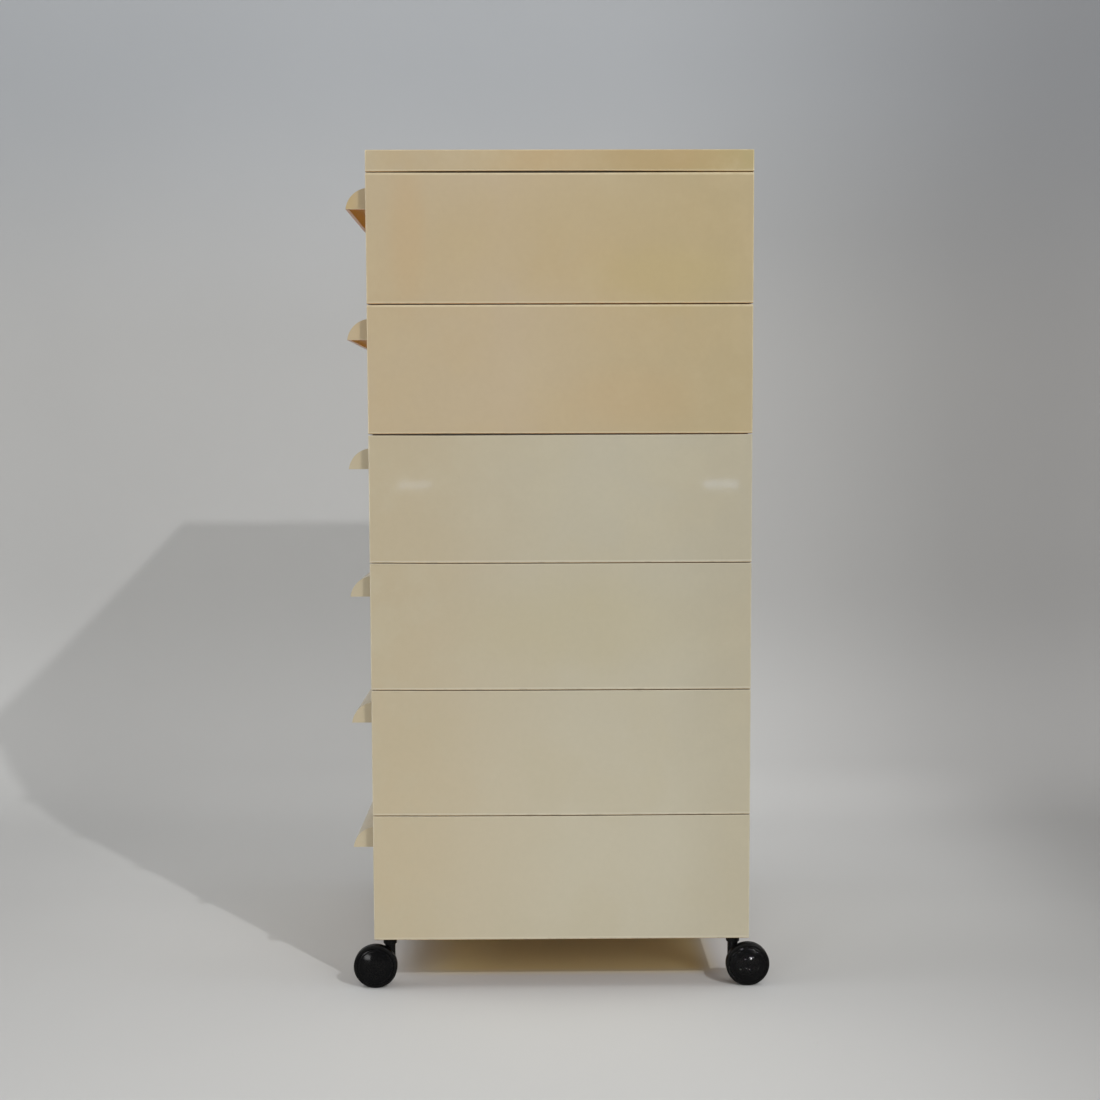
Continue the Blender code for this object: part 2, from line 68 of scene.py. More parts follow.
def addNode(tree, kind, inputs=None, **settings):
    # one node, its settings, and its inputs: a socket is linked, anything else is set
    made = tree.nodes.new(kind)
    for name, value in settings.items():
        setattr(made, name, value)
    for name, value in (inputs or {}).items():
        if isinstance(value, bpy.types.NodeSocket):
            tree.links.new(value, made.inputs[name])
        else:
            made.inputs[name].default_value = value
    return made


def maths(tree, operation, first, second=0.0, third=0.0):
    return addNode(tree, "ShaderNodeMath", {0: first, 1: second, 2: third}, operation=operation).outputs[0]


def linked(name, data):
    made = bpy.data.objects.new(name, data)
    bpy.context.scene.collection.objects.link(made)
    return made


def onBench(name, mesh):
    # a blank or a cutter, thrown away once the finished mesh is taken from it
    made = linked(name, mesh)
    benchObjects.append(made)
    return made


def clearBench():
    for old in benchObjects:
        bpy.data.objects.remove(old, do_unlink=True)
    benchObjects.clear()


def meshFrom(name, shape):
    mesh = bpy.data.meshes.new(name)
    shape.to_mesh(mesh)
    shape.free()
    return mesh


def boxes(name, corners):
    # one blank with a box for each pair of low and high corners
    shape = bmesh.new()
    for low, high in corners:
        for vert in bmesh.ops.create_cube(shape, size=1.0)["verts"]:
            vert.co = [high[i] if vert.co[i] > 0 else low[i] for i in range(3)]
    return onBench(name, meshFrom(name, shape))


def roundBar(name, radius, low, high, axis="Z", centre=(0.0, 0.0), steps=48):
    shape = bmesh.new()
    middle = (low + high) / 2
    if axis == "Z":
        place = Matrix.Translation((centre[0], centre[1], middle))
    else:
        place = Matrix.Translation((middle, centre[0], centre[1])) @ Matrix.Rotation(math.pi / 2, 4, "Y")
    bmesh.ops.create_cone(shape, cap_ends=True, segments=steps, radius1=radius, radius2=radius,
                          depth=high - low, matrix=place)
    return onBench(name, meshFrom(name, shape))


def rounded(blank, width, segments, angle=30.0, clamp=True):
    bevel = blank.modifiers.new("roundedEdges", "BEVEL")
    bevel.width = width
    bevel.segments = segments
    bevel.limit_method = "ANGLE"
    bevel.angle_limit = math.radians(angle)
    bevel.use_clamp_overlap = clamp
    bevel.miter_outer = "MITER_ARC"
    return blank


def combined(blank, operation, *others):
    for other in others:
        step = blank.modifiers.new(other.name, "BOOLEAN")
        step.operation = operation
        step.solver = "EXACT"
        step.object = other
    return blank


def takenFrom(blank, name):
    # the evaluated blank as a plain mesh
    bpy.context.view_layer.update()
    graph = bpy.context.evaluated_depsgraph_get()
    mesh = bpy.data.meshes.new_from_object(blank.evaluated_get(graph))
    mesh.name = name
    return mesh


def tidied(mesh, smoothAngle=32.0):
    shape = bmesh.new()
    shape.from_mesh(mesh)
    bmesh.ops.remove_doubles(shape, verts=shape.verts, dist=mergeDistance)
    bmesh.ops.dissolve_degenerate(shape, edges=shape.edges, dist=mergeDistance)
    bmesh.ops.recalc_face_normals(shape, faces=shape.faces)
    shape.to_mesh(mesh)
    shape.free()
    mesh.shade_smooth()
    mesh.set_sharp_from_angle(angle=math.radians(smoothAngle))
    return mesh


def marked(mesh, label, chosen):
    # a corner attribute: 1 on the chosen faces and 0 elsewhere
    mark = mesh.attributes.new(label, "FLOAT", "CORNER")
    values = [0.0] * len(mesh.loops)
    for face in mesh.polygons:
        if chosen(face):
            for loop in face.loop_indices:
                values[loop] = 1.0
    mark.data.foreach_set("value", values)
    return mesh


def markEdges(mesh, widest=0.0012):
    # the narrow facets of rounded edges, for wear that follows the form
    def narrow(face):
        corners = [mesh.vertices[index].co for index in face.vertices]
        longest = max((corners[step] - corners[step - 1]).length for step in range(len(corners)))
        flat = max(abs(axis) for axis in face.normal) > 0.9995
        return not flat and face.area < longest * widest

    return marked(mesh, "edgeRound", narrow)


def markHoodGlow(mesh, centreY, centreZ, radius, half):
    # the inside of the hood of a pull, which is painted a deeper amber as a glow of light through the plastic
    inside = [abs(v.co.x) < half and v.co.y < 0.0001 - chest["halfDepth"]
              and math.hypot(v.co.y - centreY, v.co.z - centreZ) < radius for v in mesh.vertices]
    return marked(mesh, "hollow", lambda face: all(inside[corner] for corner in face.vertices))


def flatShaded(mesh):
    # normals weighted by face area, so that a wall stays flat up to its rounded edge
    carrier = onBench(mesh.name, mesh)
    weight = carrier.modifiers.new("faceWeight", "WEIGHTED_NORMAL")
    weight.keep_sharp = True
    weight.weight = 100
    made = takenFrom(carrier, mesh.name)
    clearBench()
    return made


def finishPiece(name, mesh, material, body, nodes, place=None):
    mesh = flatShaded(mesh)
    if place is not None:
        mesh.transform(place)
    if not mesh.materials:
        mesh.materials.append(material)
    for index in range(len(mesh.materials)):
        mesh.materials[index] = material
    made = linked(name, mesh)
    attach(made, body)
    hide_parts(*nodes)
    return made


# Geometry Nodes: a turned piece, ribs in a grid and ribs in a ring


def newTree(name, sockets):
    tree = bpy.data.node_groups.new(name, "GeometryNodeTree")
    tree.interface.new_socket("Geometry", in_out="INPUT", socket_type="NodeSocketGeometry")
    tree.interface.new_socket("Geometry", in_out="OUTPUT", socket_type="NodeSocketGeometry")
    for label, kind in sockets.items():
        tree.interface.new_socket(label, in_out="INPUT", socket_type="NodeSocket" + kind)
    return tree


def endTree(tree, geometry, given):
    real = addNode(tree, "GeometryNodeRealizeInstances", {0: geometry})
    coloured = addNode(tree, "GeometryNodeSetMaterial", {0: real.outputs[0], 2: given["Material"]})
    addNode(tree, "NodeGroupOutput", {0: coloured.outputs[0]})


def turnedTree():
    # the profile's points, (radius, 0, height), are carried round Z in Steps
    tree = newTree("turnedPiece", {"Steps": "Int", "Material": "Material"})
    given = addNode(tree, "NodeGroupInput").outputs
    count = addNode(tree, "GeometryNodeAttributeDomainSize", {0: given["Geometry"]}).outputs["Point Count"]
    last = maths(tree, "SUBTRACT", count, 1.0)
    columns = maths(tree, "ADD", given["Steps"], 1.0)
    sheet = addNode(tree, "GeometryNodeMeshGrid",
                    {"Size X": last, "Size Y": given["Steps"], "Vertices X": count, "Vertices Y": columns})
    spot = addNode(tree, "ShaderNodeSeparateXYZ",
                   {0: addNode(tree, "GeometryNodeInputPosition").outputs[0]}).outputs
    row = maths(tree, "MULTIPLY_ADD", last, 0.5, spot[0])
    whole = maths(tree, "ROUND", row)
    angle = maths(tree, "MULTIPLY", maths(tree, "DIVIDE", spot[1], given["Steps"]), 2 * math.pi)
    sample = addNode(tree, "GeometryNodeSampleIndex", {"Geometry": given["Geometry"], "Index": whole},
                     data_type="FLOAT_VECTOR")
    tree.links.new(addNode(tree, "GeometryNodeInputPosition").outputs[0], sample.inputs["Value"])
    spun = addNode(tree, "ShaderNodeVectorRotate", {"Vector": sample.outputs[0], "Angle": angle},
                   rotation_type="Z_AXIS").outputs[0]
    placed = addNode(tree, "GeometryNodeSetPosition", {"Geometry": sheet.outputs[0], "Position": spun})
    closed = addNode(tree, "GeometryNodeMergeByDistance",
                     {"Geometry": placed.outputs[0], "Distance": mergeDistance})
    endTree(tree, closed.outputs[0], given)
    return tree


def gridRibTree():
    # Across ribs stand along X and Along ribs along Y, evenly over Width and Depth
    tree = newTree("gridRibs", {"Across": "Int", "Along": "Int", "Width": "Float", "Depth": "Float",
                                "Thickness": "Float", "Height": "Float", "Material": "Material"})
    given = addNode(tree, "NodeGroupInput").outputs
    sets = []
    for count, spread, long, alongX in (("Across", "Depth", "Width", True),
                                        ("Along", "Width", "Depth", False)):
        step = maths(tree, "DIVIDE", given[spread], maths(tree, "ADD", given[count], 1.0))
        first = maths(tree, "ADD", maths(tree, "MULTIPLY", given[spread], -0.5), step)
        start = addNode(tree, "ShaderNodeCombineXYZ", {1 if alongX else 0: first}).outputs[0]
        offset = addNode(tree, "ShaderNodeCombineXYZ", {1 if alongX else 0: step}).outputs[0]
        line = addNode(tree, "GeometryNodeMeshLine",
                       {"Count": given[count], "Start Location": start, "Offset": offset})
        size = addNode(tree, "ShaderNodeCombineXYZ",
                       {0: given[long] if alongX else given["Thickness"],
                        1: given["Thickness"] if alongX else given[long], 2: given["Height"]}).outputs[0]
        bar = addNode(tree, "GeometryNodeMeshCube", {"Size": size})
        sets.append(addNode(tree, "GeometryNodeInstanceOnPoints",
                            {"Points": line.outputs[0], "Instance": bar.outputs[0]}).outputs[0])
    joined = addNode(tree, "GeometryNodeJoinGeometry", {0: sets[0]})
    tree.links.new(sets[1], joined.inputs[0])
    endTree(tree, joined.outputs[0], given)
    return tree


def ringRibTree():
    # Count thin ribs stand out from Inner to Outer radius around Z, from Low to High
    tree = newTree("ringRibs", {"Count": "Int", "Inner": "Float", "Outer": "Float", "Thickness": "Float",
                                "Low": "Float", "High": "Float", "Material": "Material"})
    given = addNode(tree, "NodeGroupInput").outputs
    length = maths(tree, "SUBTRACT", given["Outer"], given["Inner"])
    height = maths(tree, "SUBTRACT", given["High"], given["Low"])
    reach = maths(tree, "MULTIPLY_ADD", length, 0.5, given["Inner"])
    level = maths(tree, "MULTIPLY_ADD", height, 0.5, given["Low"])
    size = addNode(tree, "ShaderNodeCombineXYZ", {0: length, 1: given["Thickness"], 2: height}).outputs[0]
    bar = addNode(tree, "GeometryNodeMeshCube", {"Size": size})
    spot = addNode(tree, "ShaderNodeCombineXYZ", {0: reach, 2: level}).outputs[0]
    moved = addNode(tree, "GeometryNodeTransform", {"Geometry": bar.outputs[0], "Translation": spot})
    points = addNode(tree, "GeometryNodePoints", {"Count": given["Count"]})
    index = addNode(tree, "GeometryNodeInputIndex").outputs[0]
    angle = maths(tree, "MULTIPLY", maths(tree, "DIVIDE", index, given["Count"]), 2 * math.pi)
    turn = addNode(tree, "ShaderNodeCombineXYZ", {2: angle}).outputs[0]
    ring = addNode(tree, "GeometryNodeInstanceOnPoints",
                   {"Points": points.outputs[0], "Instance": moved.outputs[0], "Rotation": turn})
    endTree(tree, ring.outputs[0], given)
    return tree


def grown(name, tree, values, mesh=None):
    # an object whose modifier makes its mesh: each input is set by its identifier
    made = onBench(name, mesh or bpy.data.meshes.new(name))
    growth = made.modifiers.new(name, "NODES")
    growth.node_group = tree
    for item in tree.interface.items_tree:
        if item.in_out == "INPUT" and item.name in values:
            growth[item.identifier] = values[item.name]
    return made


# Materials


def shaderTree(name, roughness, ior=None, metallic=0.0):
    material = bpy.data.materials.new(name)
    material.use_nodes = True
    tree = material.node_tree
    shader = tree.nodes["Principled BSDF"]
    shader.inputs["Roughness"].default_value = roughness
    shader.inputs["Metallic"].default_value = metallic
    if ior is not None:
        shader.inputs["IOR"].default_value = ior
    place = addNode(tree, "ShaderNodeTexCoord").outputs["Object"]
    return material, tree, shader, place


def noise(tree, place, scale, detail=2.0, rough=0.5, stretch=None):
    if stretch is not None:
        place = addNode(tree, "ShaderNodeMapping", {"Vector": place, "Scale": stretch}).outputs[0]
    return addNode(tree, "ShaderNodeTexNoise",
                   {"Vector": place, "Scale": scale, "Detail": detail, "Roughness": rough}).outputs[0]


def span(tree, value, low, high, toLow=0.0, toHigh=1.0):
    return addNode(tree, "ShaderNodeMapRange", {0: value, 1: low, 2: high, 3: toLow, 4: toHigh},
                   interpolation_type="SMOOTHSTEP").outputs[0]


def product(tree, amount, *others):
    for other in others:
        amount = maths(tree, "MULTIPLY", amount, other)
    return amount


def band(tree, *fades):
    # 1 where every fade is full: each is (value, where it starts, where it is full)
    return product(tree, *[span(tree, *fade) for fade in fades])


def shaded(tree, colour, value):
    return addNode(tree, "ShaderNodeHueSaturation", {"Value": value, "Color": colour}).outputs[0]


def tinted(tree, base, colour, factor, blend="MIX"):
    colour = linear(colour) if isinstance(colour, str) else colour
    return addNode(tree, "ShaderNodeMix", {0: factor, 6: base, 7: colour},
                   data_type="RGBA", blend_type=blend).outputs[2]


def ramp(tree, factor, stops):
    made = addNode(tree, "ShaderNodeValToRGB", {0: factor})
    elements = made.color_ramp.elements
    while len(elements) < len(stops):
        elements.new(0.5)
    for element, (share, colour) in zip(elements, stops):
        element.position = share
        element.color = linear(colour)
    return made.outputs[0]


absSkin = {
    "coat": 0.35, "coatRoughness": 0.05,
    "grime": "#6E5F42", "gapDirtAndShade": "#2B2114", "dust": "#BDB7A8",
    # noise from the widest pattern to the finest: scale, detail, roughness
    "drift": (6.0, 2.0), "wave": (9.0, 1.0), "clouds": (11.0, 3.0, 0.55), "handling": (15.0, 4.0, 0.6),
    "haze": (22.0, 4.0, 0.6), "flecks": (34.0, 5.0, 0.7), "grain": (70.0, 4.0, 0.65),
    "mottle": (165.0, 3.0), "peel": (640.0, 2.0),
}


def agedAbs(name, look):
    # ABS, injection moulded in a polished tool and aged by light: a smooth satin skin with a faint
    # orange peel, whose cream has yellowed more towards the front and in soft uneven patches
    s = absSkin
    material, tree, shader, place = shaderTree(name, 0.30, 1.53)
    shader.inputs["Coat Weight"].default_value = s["coat"]
    shader.inputs["Coat Roughness"].default_value = s["coatRoughness"]
    axes = addNode(tree, "ShaderNodeSeparateXYZ", {0: place}).outputs
    geometry = addNode(tree, "ShaderNodeNewGeometry")
    facing = addNode(tree, "ShaderNodeSeparateXYZ", {0: geometry.outputs["Normal"]}).outputs

    # depth of the ageing, front to back, its border wandering by about 40 mm
    drift = noise(tree, place, *s["drift"])
    along = maths(tree, "MULTIPLY_ADD", drift, 0.08, axes[1])
    colour = ramp(tree, span(tree, along, -0.17, 0.25), look["tones"])
    # brightness scaled by height, lighter near the floor
    level = span(tree, axes[2], 0.12, 0.50, look["lower"], look["upper"])
    colour = shaded(tree, colour, level)

    # cloudy patches about 90 mm across, then a haze about 45 mm across
    clouds = noise(tree, place, *s["clouds"])
    colour = tinted(tree, colour, look["stain"], span(tree, clouds, 0.42, 0.68, 0.0, look["stainAmount"]))
    haze = span(tree, noise(tree, place, *s["haze"]), 0.45, 0.70, 0.0, look["hazeAmount"])
    colour = tinted(tree, colour, look["haze"], haze)

    # single blushes where the sun reached, and one painted shade on the end of the top pull: each fades over
    # its own radii
    for y, z, halfY, halfZ, tone, strength in look["blushes"]:
        spot = addNode(tree, "ShaderNodeMapping", {"Vector": place, "Location": (0.0, y, z),
                                                   "Scale": (1.6, halfY, halfZ)}, vector_type="TEXTURE")
        ball = addNode(tree, "ShaderNodeTexGradient", {0: spot.outputs[0]}, gradient_type="SPHERICAL")
        broken = maths(tree, "MULTIPLY_ADD", drift, 0.5, 0.75)
        amount = product(tree, span(tree, ball.outputs[1], 0.0, 0.75, 0.0, strength), broken)
        colour = tinted(tree, colour, tone, amount)

    # painted glow: undersides and the hollow of the pull are painted a deeper amber, for light that passes
    # through and bounces off the plastic
    facingDownGlow = span(tree, facing[2], -0.25, -0.9, 0.0, look["underAmount"])
    colour = tinted(tree, colour, look["under"], facingDownGlow)
    paintedHoodGlow = addNode(tree, "ShaderNodeAttribute", attribute_name="hollow").outputs["Fac"]
    colour = tinted(tree, colour, look["hollow"], maths(tree, "MULTIPLY", paintedHoodGlow, 0.9))

    # grime in the seams, 3 mm wide and broken up, over packed dirt and painted shade behind the outer skin:
    # near black on the lip inside each seam gap
    height = maths(tree, "SUBTRACT", axes[2], chest["ground"])
    toSeam = maths(tree, "PINGPONG", height, chest["pitch"] / 2)
    reach = maths(tree, "MAXIMUM", maths(tree, "ABSOLUTE", axes[0]), maths(tree, "ABSOLUTE", axes[1]))
    grain = noise(tree, place, *s["grain"])
    grime = band(tree, (toSeam, 0.0, 0.0035, 0.5, 0.0), (grain, 0.42, 0.7))
    colour = tinted(tree, colour, s["grime"], grime)
    skin = chest["halfWidth"]
    gapDirtAndShadeMask = band(tree, (reach, skin - 0.0064, skin - 0.0058), (reach, skin - 0.0006, skin - 0.0014),
                  (toSeam, 0.0055, 0.0035, 0.0, 0.92))
    colour = tinted(tree, colour, s["gapDirtAndShade"], gapDirtAndShadeMask)

    # paler, rubbed edges, and a painted highlight: a thin pale line along each side of a seam, in the rubbed
    # colour
    edge = addNode(tree, "ShaderNodeAttribute", attribute_name="edgeRound").outputs["Fac"]
    worn = product(tree, edge, span(tree, grain, 0.35, 0.65, 0.12, 0.40), span(tree, facing[2], -0.45, 0.05))
    colour = tinted(tree, colour, look["rubbed"], worn)
    inUnit = maths(tree, "FLOORED_MODULO", height, chest["pitch"])
    above = band(tree, (inUnit, 0.0004, 0.0012), (inUnit, 0.0032, 0.0020))
    fromTop = maths(tree, "SUBTRACT", chest["pitch"], inUnit)
    below = band(tree, (fromTop, 0.0012, 0.0018), (fromTop, 0.0040, 0.0026))
    for line, amount in ((above, look["paintedHighlightAbove"]), (below, look["paintedHighlightBelow"])):
        paintedSeamHighlight = product(tree, line, span(tree, reach, skin - 0.0015, skin - 0.0006, 0.0, amount),
                          span(tree, grain, 0.30, 0.60, 0.55, 1.0))
        colour = tinted(tree, colour, look["rubbed"], paintedSeamHighlight)

    # fine mottling, about 6 mm, a little lighter and darker
    mottle = noise(tree, place, *s["mottle"])
    colour = shaded(tree, colour, maths(tree, "MULTIPLY_ADD", mottle, 0.05, 0.975))

    # settled dust on what faces up, in patches of about 30 mm with specks in it
    up = span(tree, facing[2], 0.75, 1.0)
    flecks = noise(tree, place, *s["flecks"])
    settled = product(tree, up, span(tree, flecks, 0.38, 0.72, 0.05, 0.30))
    colour = tinted(tree, colour, s["dust"], settled)
    tree.links.new(colour, shader.inputs["Base Color"])

    # handling has dulled the polish in patches of about 70 mm
    gloss = span(tree, noise(tree, place, *s["handling"]), 0.3, 0.7, *look["gloss"])
    gloss = maths(tree, "MULTIPLY_ADD", settled, 0.8, gloss)
    tree.links.new(maths(tree, "MULTIPLY_ADD", mottle, 0.03, gloss), shader.inputs["Roughness"])

    # walls draw in by fractions of a millimetre over 100 mm; the orange peel is drawn at 1.5 mm
    wave = noise(tree, place, *s["wave"])
    swell = addNode(tree, "ShaderNodeBump", {"Strength": 0.10, "Distance": 0.0010, "Height": wave})
    peel = noise(tree, place, *s["peel"])
    relief = addNode(tree, "ShaderNodeBump", {"Strength": 0.10, "Distance": 0.0002, "Height": peel,
                                              "Normal": swell.outputs[0]})
    tree.links.new(relief.outputs[0], shader.inputs["Normal"])
    return material


nylonSkin = {"rubbed": "#55534F", "cloud": (90.0, 3.0, 0.6), "speck": (420.0, 4.0, 0.65),
             "spark": (1250.0, 2.0)}


def blackNylon(name, look):
    # polyamide 6, injection moulded and coloured through with carbon black: a deep neutral black whose
    # sheen is broken by patches of dust, with greyer, rubbed edges
    material, tree, shader, place = shaderTree(name, look["roughness"], 1.53)
    shader.inputs["Specular IOR Level"].default_value = look["specular"]
    speck = noise(tree, place, *nylonSkin["speck"])
    cloud = noise(tree, place, *nylonSkin["cloud"])
    dust = band(tree, (speck, 0.48, 0.72), (cloud, 0.40, 0.65, 0.0, look["dust"]))
    colour = tinted(tree, linear(look["colour"]), look["dustColour"], dust)
    edge = addNode(tree, "ShaderNodeAttribute", attribute_name="edgeRound").outputs["Fac"]
    rubbed = product(tree, edge, span(tree, speck, 0.4, 0.65, 0.0, look["rub"]))
    colour = tinted(tree, colour, nylonSkin["rubbed"], rubbed)
    tree.links.new(colour, shader.inputs["Base Color"])
    gloss = span(tree, cloud, 0.3, 0.7, look["roughness"] * 0.9, look["roughness"] * 1.15)
    tree.links.new(maths(tree, "MULTIPLY_ADD", dust, 0.5, gloss), shader.inputs["Roughness"])
    # the tool's fine spark texture, 0.3 mm in life and drawn at 0.8 mm
    grain = noise(tree, place, *nylonSkin["spark"])
    skin = addNode(tree, "ShaderNodeBump", {"Strength": look["grain"], "Distance": 0.0001, "Height": grain})
    tree.links.new(skin.outputs[0], shader.inputs["Normal"])
    return material


steelLook = {"colour": "#B9BCC0", "dull": "#8E8F8C", "spots": (260.0, 4.0, 0.6), "rings": 320.0}


def turnedSteel(name, look):
    # mild steel, turned and zinc plated: a cool grey metal with fine rings from the tool and dull spots
    material, tree, shader, place = shaderTree(name, 0.32, metallic=1.0)
    spots = span(tree, noise(tree, place, *look["spots"]), 0.45, 0.7)
    tree.links.new(tinted(tree, linear(look["colour"]), look["dull"], spots), shader.inputs["Base Color"])
    tree.links.new(maths(tree, "MULTIPLY_ADD", spots, 0.2, 0.28), shader.inputs["Roughness"])
    # turning rings, 0.1 mm in life and drawn at 0.5 mm
    rings = addNode(tree, "ShaderNodeTexWave", {"Vector": place, "Scale": look["rings"], "Distortion": 0.4},
                    bands_direction="Z")
    skin = addNode(tree, "ShaderNodeBump",
                   {"Strength": 0.3, "Distance": 0.00005, "Height": rings.outputs[1]})
    tree.links.new(skin.outputs[0], shader.inputs["Normal"])
    return material


# tones run front to back, lower and upper scale them by height, and a blush is (y, z, its two radii,
# colour, strength)
absLooks = {
    "amberedCreamAbsMoulded": {
        "tones": [(0.0, "#B9A98B"), (0.35, "#BBA681"), (0.60, "#BAA57F"), (1.0, "#AE9E71")],
        "lower": 0.925, "upper": 0.925,
        "stain": "#B39462", "stainAmount": 0.35, "haze": "#BBB093", "hazeAmount": 0.25,
        "rubbed": "#DED0AC", "gloss": (0.30, 0.36),
        "under": "#B9802C", "underAmount": 0.8, "hollow": "#E3AD40", "paintedHighlightAbove": 0.25, "paintedHighlightBelow": 0.0,
        "blushes": [(0.10, 0.915, 0.10, 0.06, "#AB9266", 0.60)],
    },
    "yellowedCreamAbsMoulded": {
        "tones": [(0.0, "#B8A686"), (0.3, "#B9A789"), (0.65, "#B7A583"), (1.0, "#B09F7A")],
        "lower": 0.945, "upper": 0.945,
        "stain": "#B59C70", "stainAmount": 0.22, "haze": "#BAAE90", "hazeAmount": 0.13,
        "rubbed": "#DCCFAC", "gloss": (0.31, 0.38),
        "under": "#C07A1E", "underAmount": 0.95, "hollow": "#E3AD40", "paintedHighlightAbove": 0.28, "paintedHighlightBelow": 0.50,
        "blushes": [(0.02, 0.832, 0.30, 0.085, "#B09A68", 0.22),
                    (-0.165, 0.84, 0.03, 0.11, "#B89A70", 0.30),
                    (0.12, 0.79, 0.12, 0.05, "#B2A06C", 0.30),
                    (0.08, 0.66, 0.10, 0.05, "#B9996C", 0.18),
                    # this last blush is painted shade: a deeper amber on the end of the top pull beside its
                    # front, where the side wall's shadow falls
                    (-0.238, 0.875, 0.03, 0.05, "#B09660", 0.6)],
    },
    "paleCreamAbsMoulded": {
        "tones": [(0.0, "#B5A78A"), (0.18, "#B6AB92"), (0.5, "#B6AE98"), (0.85, "#B4AD98"),
                  (1.0, "#AEA690")],
        "lower": 1.04, "upper": 0.95,
        "stain": "#B2A688", "stainAmount": 0.25, "haze": "#B8B29C", "hazeAmount": 0.18,
        "rubbed": "#D8D1BC", "gloss": (0.32, 0.40),
        "under": "#BC8636", "underAmount": 0.9, "hollow": "#DDB055", "paintedHighlightAbove": 0.35, "paintedHighlightBelow": 0.0,
        "blushes": [(0.03, 0.41, 0.18, 0.075, "#B0A47E", 0.28)],
    },
}
nylonLooks = {
    "blackNylonMoulded": {"colour": "#080809", "roughness": 0.40, "dust": 0.05, "dustColour": "#5C5850",
                          "rub": 0.06, "grain": 0.12, "specular": 0.10},
    "wornWheelNylon": {"colour": "#090909", "roughness": 0.36, "dust": 0.06, "dustColour": "#625E57",
                       "rub": 0.08, "grain": 0.15, "specular": 0.09},
    "glossyCapNylon": {"colour": "#070708", "roughness": 0.13, "dust": 0.015, "dustColour": "#5C5850",
                       "rub": 0.03, "grain": 0.01, "specular": 0.10},
}

amberedCream, yellowedCream, paleCream = [agedAbs(name, look) for name, look in absLooks.items()]
mouldedNylon, wheelNylon, capNylon = [blackNylon(name, look) for name, look in nylonLooks.items()]
zincSteel = turnedSteel("zincPlatedTurnedSteel", steelLook)
print("materials ready")

turnedGroup = turnedTree()
gridGroup = gridRibTree()
ringGroup = ringRibTree()


# Units: seams that open and close a little along their length, as stacked mouldings do


def bowed(mesh, bottom, top, lower, upper, cuts=14):
    # moves the wall's outer skin at its lower and upper edge by (front, near front, middle, back) shifts
    shape = bmesh.new()
    shape.from_mesh(mesh)
    half = chest["halfDepth"]
    for cut in range(1, cuts):
        parts = list(shape.verts) + list(shape.edges) + list(shape.faces)
        bmesh.ops.bisect_plane(shape, geom=parts, dist=mergeDistance / 2,
                               plane_co=(0.0, -half + 2 * half * cut / cuts, 0.0), plane_no=(0.0, 1.0, 0.0))
    skin = chest["halfWidth"] - chest["wall"] + 0.0004
    stops = (-half, -half * 0.6, 0.0, half)
    for vert in shape.verts:
        if max(abs(vert.co.x), abs(vert.co.y)) < skin:
            continue
        for level, shifts in ((bottom, lower), (top, upper)):
            if abs(vert.co.z - level) < 0.0022:
                y = min(max(vert.co.y, -half), half)
                part = sum(1 for stop in stops[1:-1] if y > stop)
                share = (y - stops[part]) / (stops[part + 1] - stops[part])
                ease = share * share * (3 - 2 * share)
                vert.co.z += shifts[part] + (shifts[part + 1] - shifts[part]) * ease
                break
    shape.to_mesh(mesh)
    shape.free()
    return mesh


def ribbed(blank, name, counts, values, middle):
    # ribs both ways across the blank, joined to it at one height
    ribs = grown(name, gridGroup, {"Across": counts, "Along": counts, **values})
    bars = takenFrom(ribs, name + "Bars")
    bars.transform(Matrix.Translation((0.0, 0.0, middle)))
    combined(blank, "UNION", onBench(name + "Bars", bars))
    blank.modifiers[-1].use_self = True


coverSizes = {
    "edge": 0.0011,          # outer edge radius
    "fine": 0.0004,          # radius of every other edge
    "recess": 0.004,
    "topThickness": 0.0035,
    "ribs": 3,
    "ribThickness": 0.0025,
    "seam": (0.0, 0.0006, 0.0009, 0.0),   # how far the skirt lifts: front, near front, middle, back
}


def buildCover():
    s = coverSizes
    halfX, halfY = chest["halfWidth"], chest["halfDepth"]
    height = chest["top"] - chest["coverBottom"]
    inX, inY = halfX - chest["wall"], halfY - chest["wall"]
    blank = boxes("coverBlank", [((-halfX, -halfY, 0.0), (halfX, halfY, height))])
    rounded(blank, s["edge"], 4)
    hollow = boxes("coverHollow", [((-inX, -inY, -past), (inX, inY, height - s["topThickness"]))])
    rounded(hollow, 0.002, 3)
    ribHeight = height - s["topThickness"] - s["recess"] + 0.001
    combined(blank, "DIFFERENCE", hollow)
    ribbed(blank, "coverRibs", s["ribs"],
           {"Width": 2 * inX + 0.001, "Depth": 2 * inY + 0.001, "Thickness": s["ribThickness"],
            "Height": ribHeight, "Material": amberedCream}, s["recess"] + ribHeight / 2)
    rounded(blank, s["fine"], 2, 40.0)
    mesh = tidied(takenFrom(blank, "topCover"))
    clearBench()
    bowed(mesh, 0.0, height, s["seam"], (0.0, 0.0, 0.0, 0.0))
    markEdges(tidied(mesh))
    place = Matrix.Translation((0.0, 0.0, chest["coverBottom"]))
    finishPiece("topCoverMoulding", mesh, amberedCream, "chest", ["top_cover"], place)


shellSizes = {
    "height": 0.1402,
    "edge": 0.0010,
    "fine": 0.0004,
    "floor": 0.003,
    "recess": 0.004,
    "frontRail": 0.004,
    "flangeWidth": 0.014,
    "flangeThickness": 0.003,
    "lipThickness": 0.002,
    "lipGap": 0.0005,
    "lipTop": 0.1447,
    "ledgeReach": 0.018,
    "ledgeTop": 0.1327,
    "ledgeBottom": 0.1297,
    "runnerFront": -0.2055,
    "stopBack": -0.1443,
    "stopLength": 0.004,
    "stopInner": 0.2028,
    "ribs": 3,
    "ribThickness": 0.002,
    "ribDepth": 0.0025,
    "ribClear": 0.010,
    "socketRadius": 0.009,
    "socketHeight": 0.031,
    "boreRadius": 0.0063,
    "boreHeight": 0.0285,
}
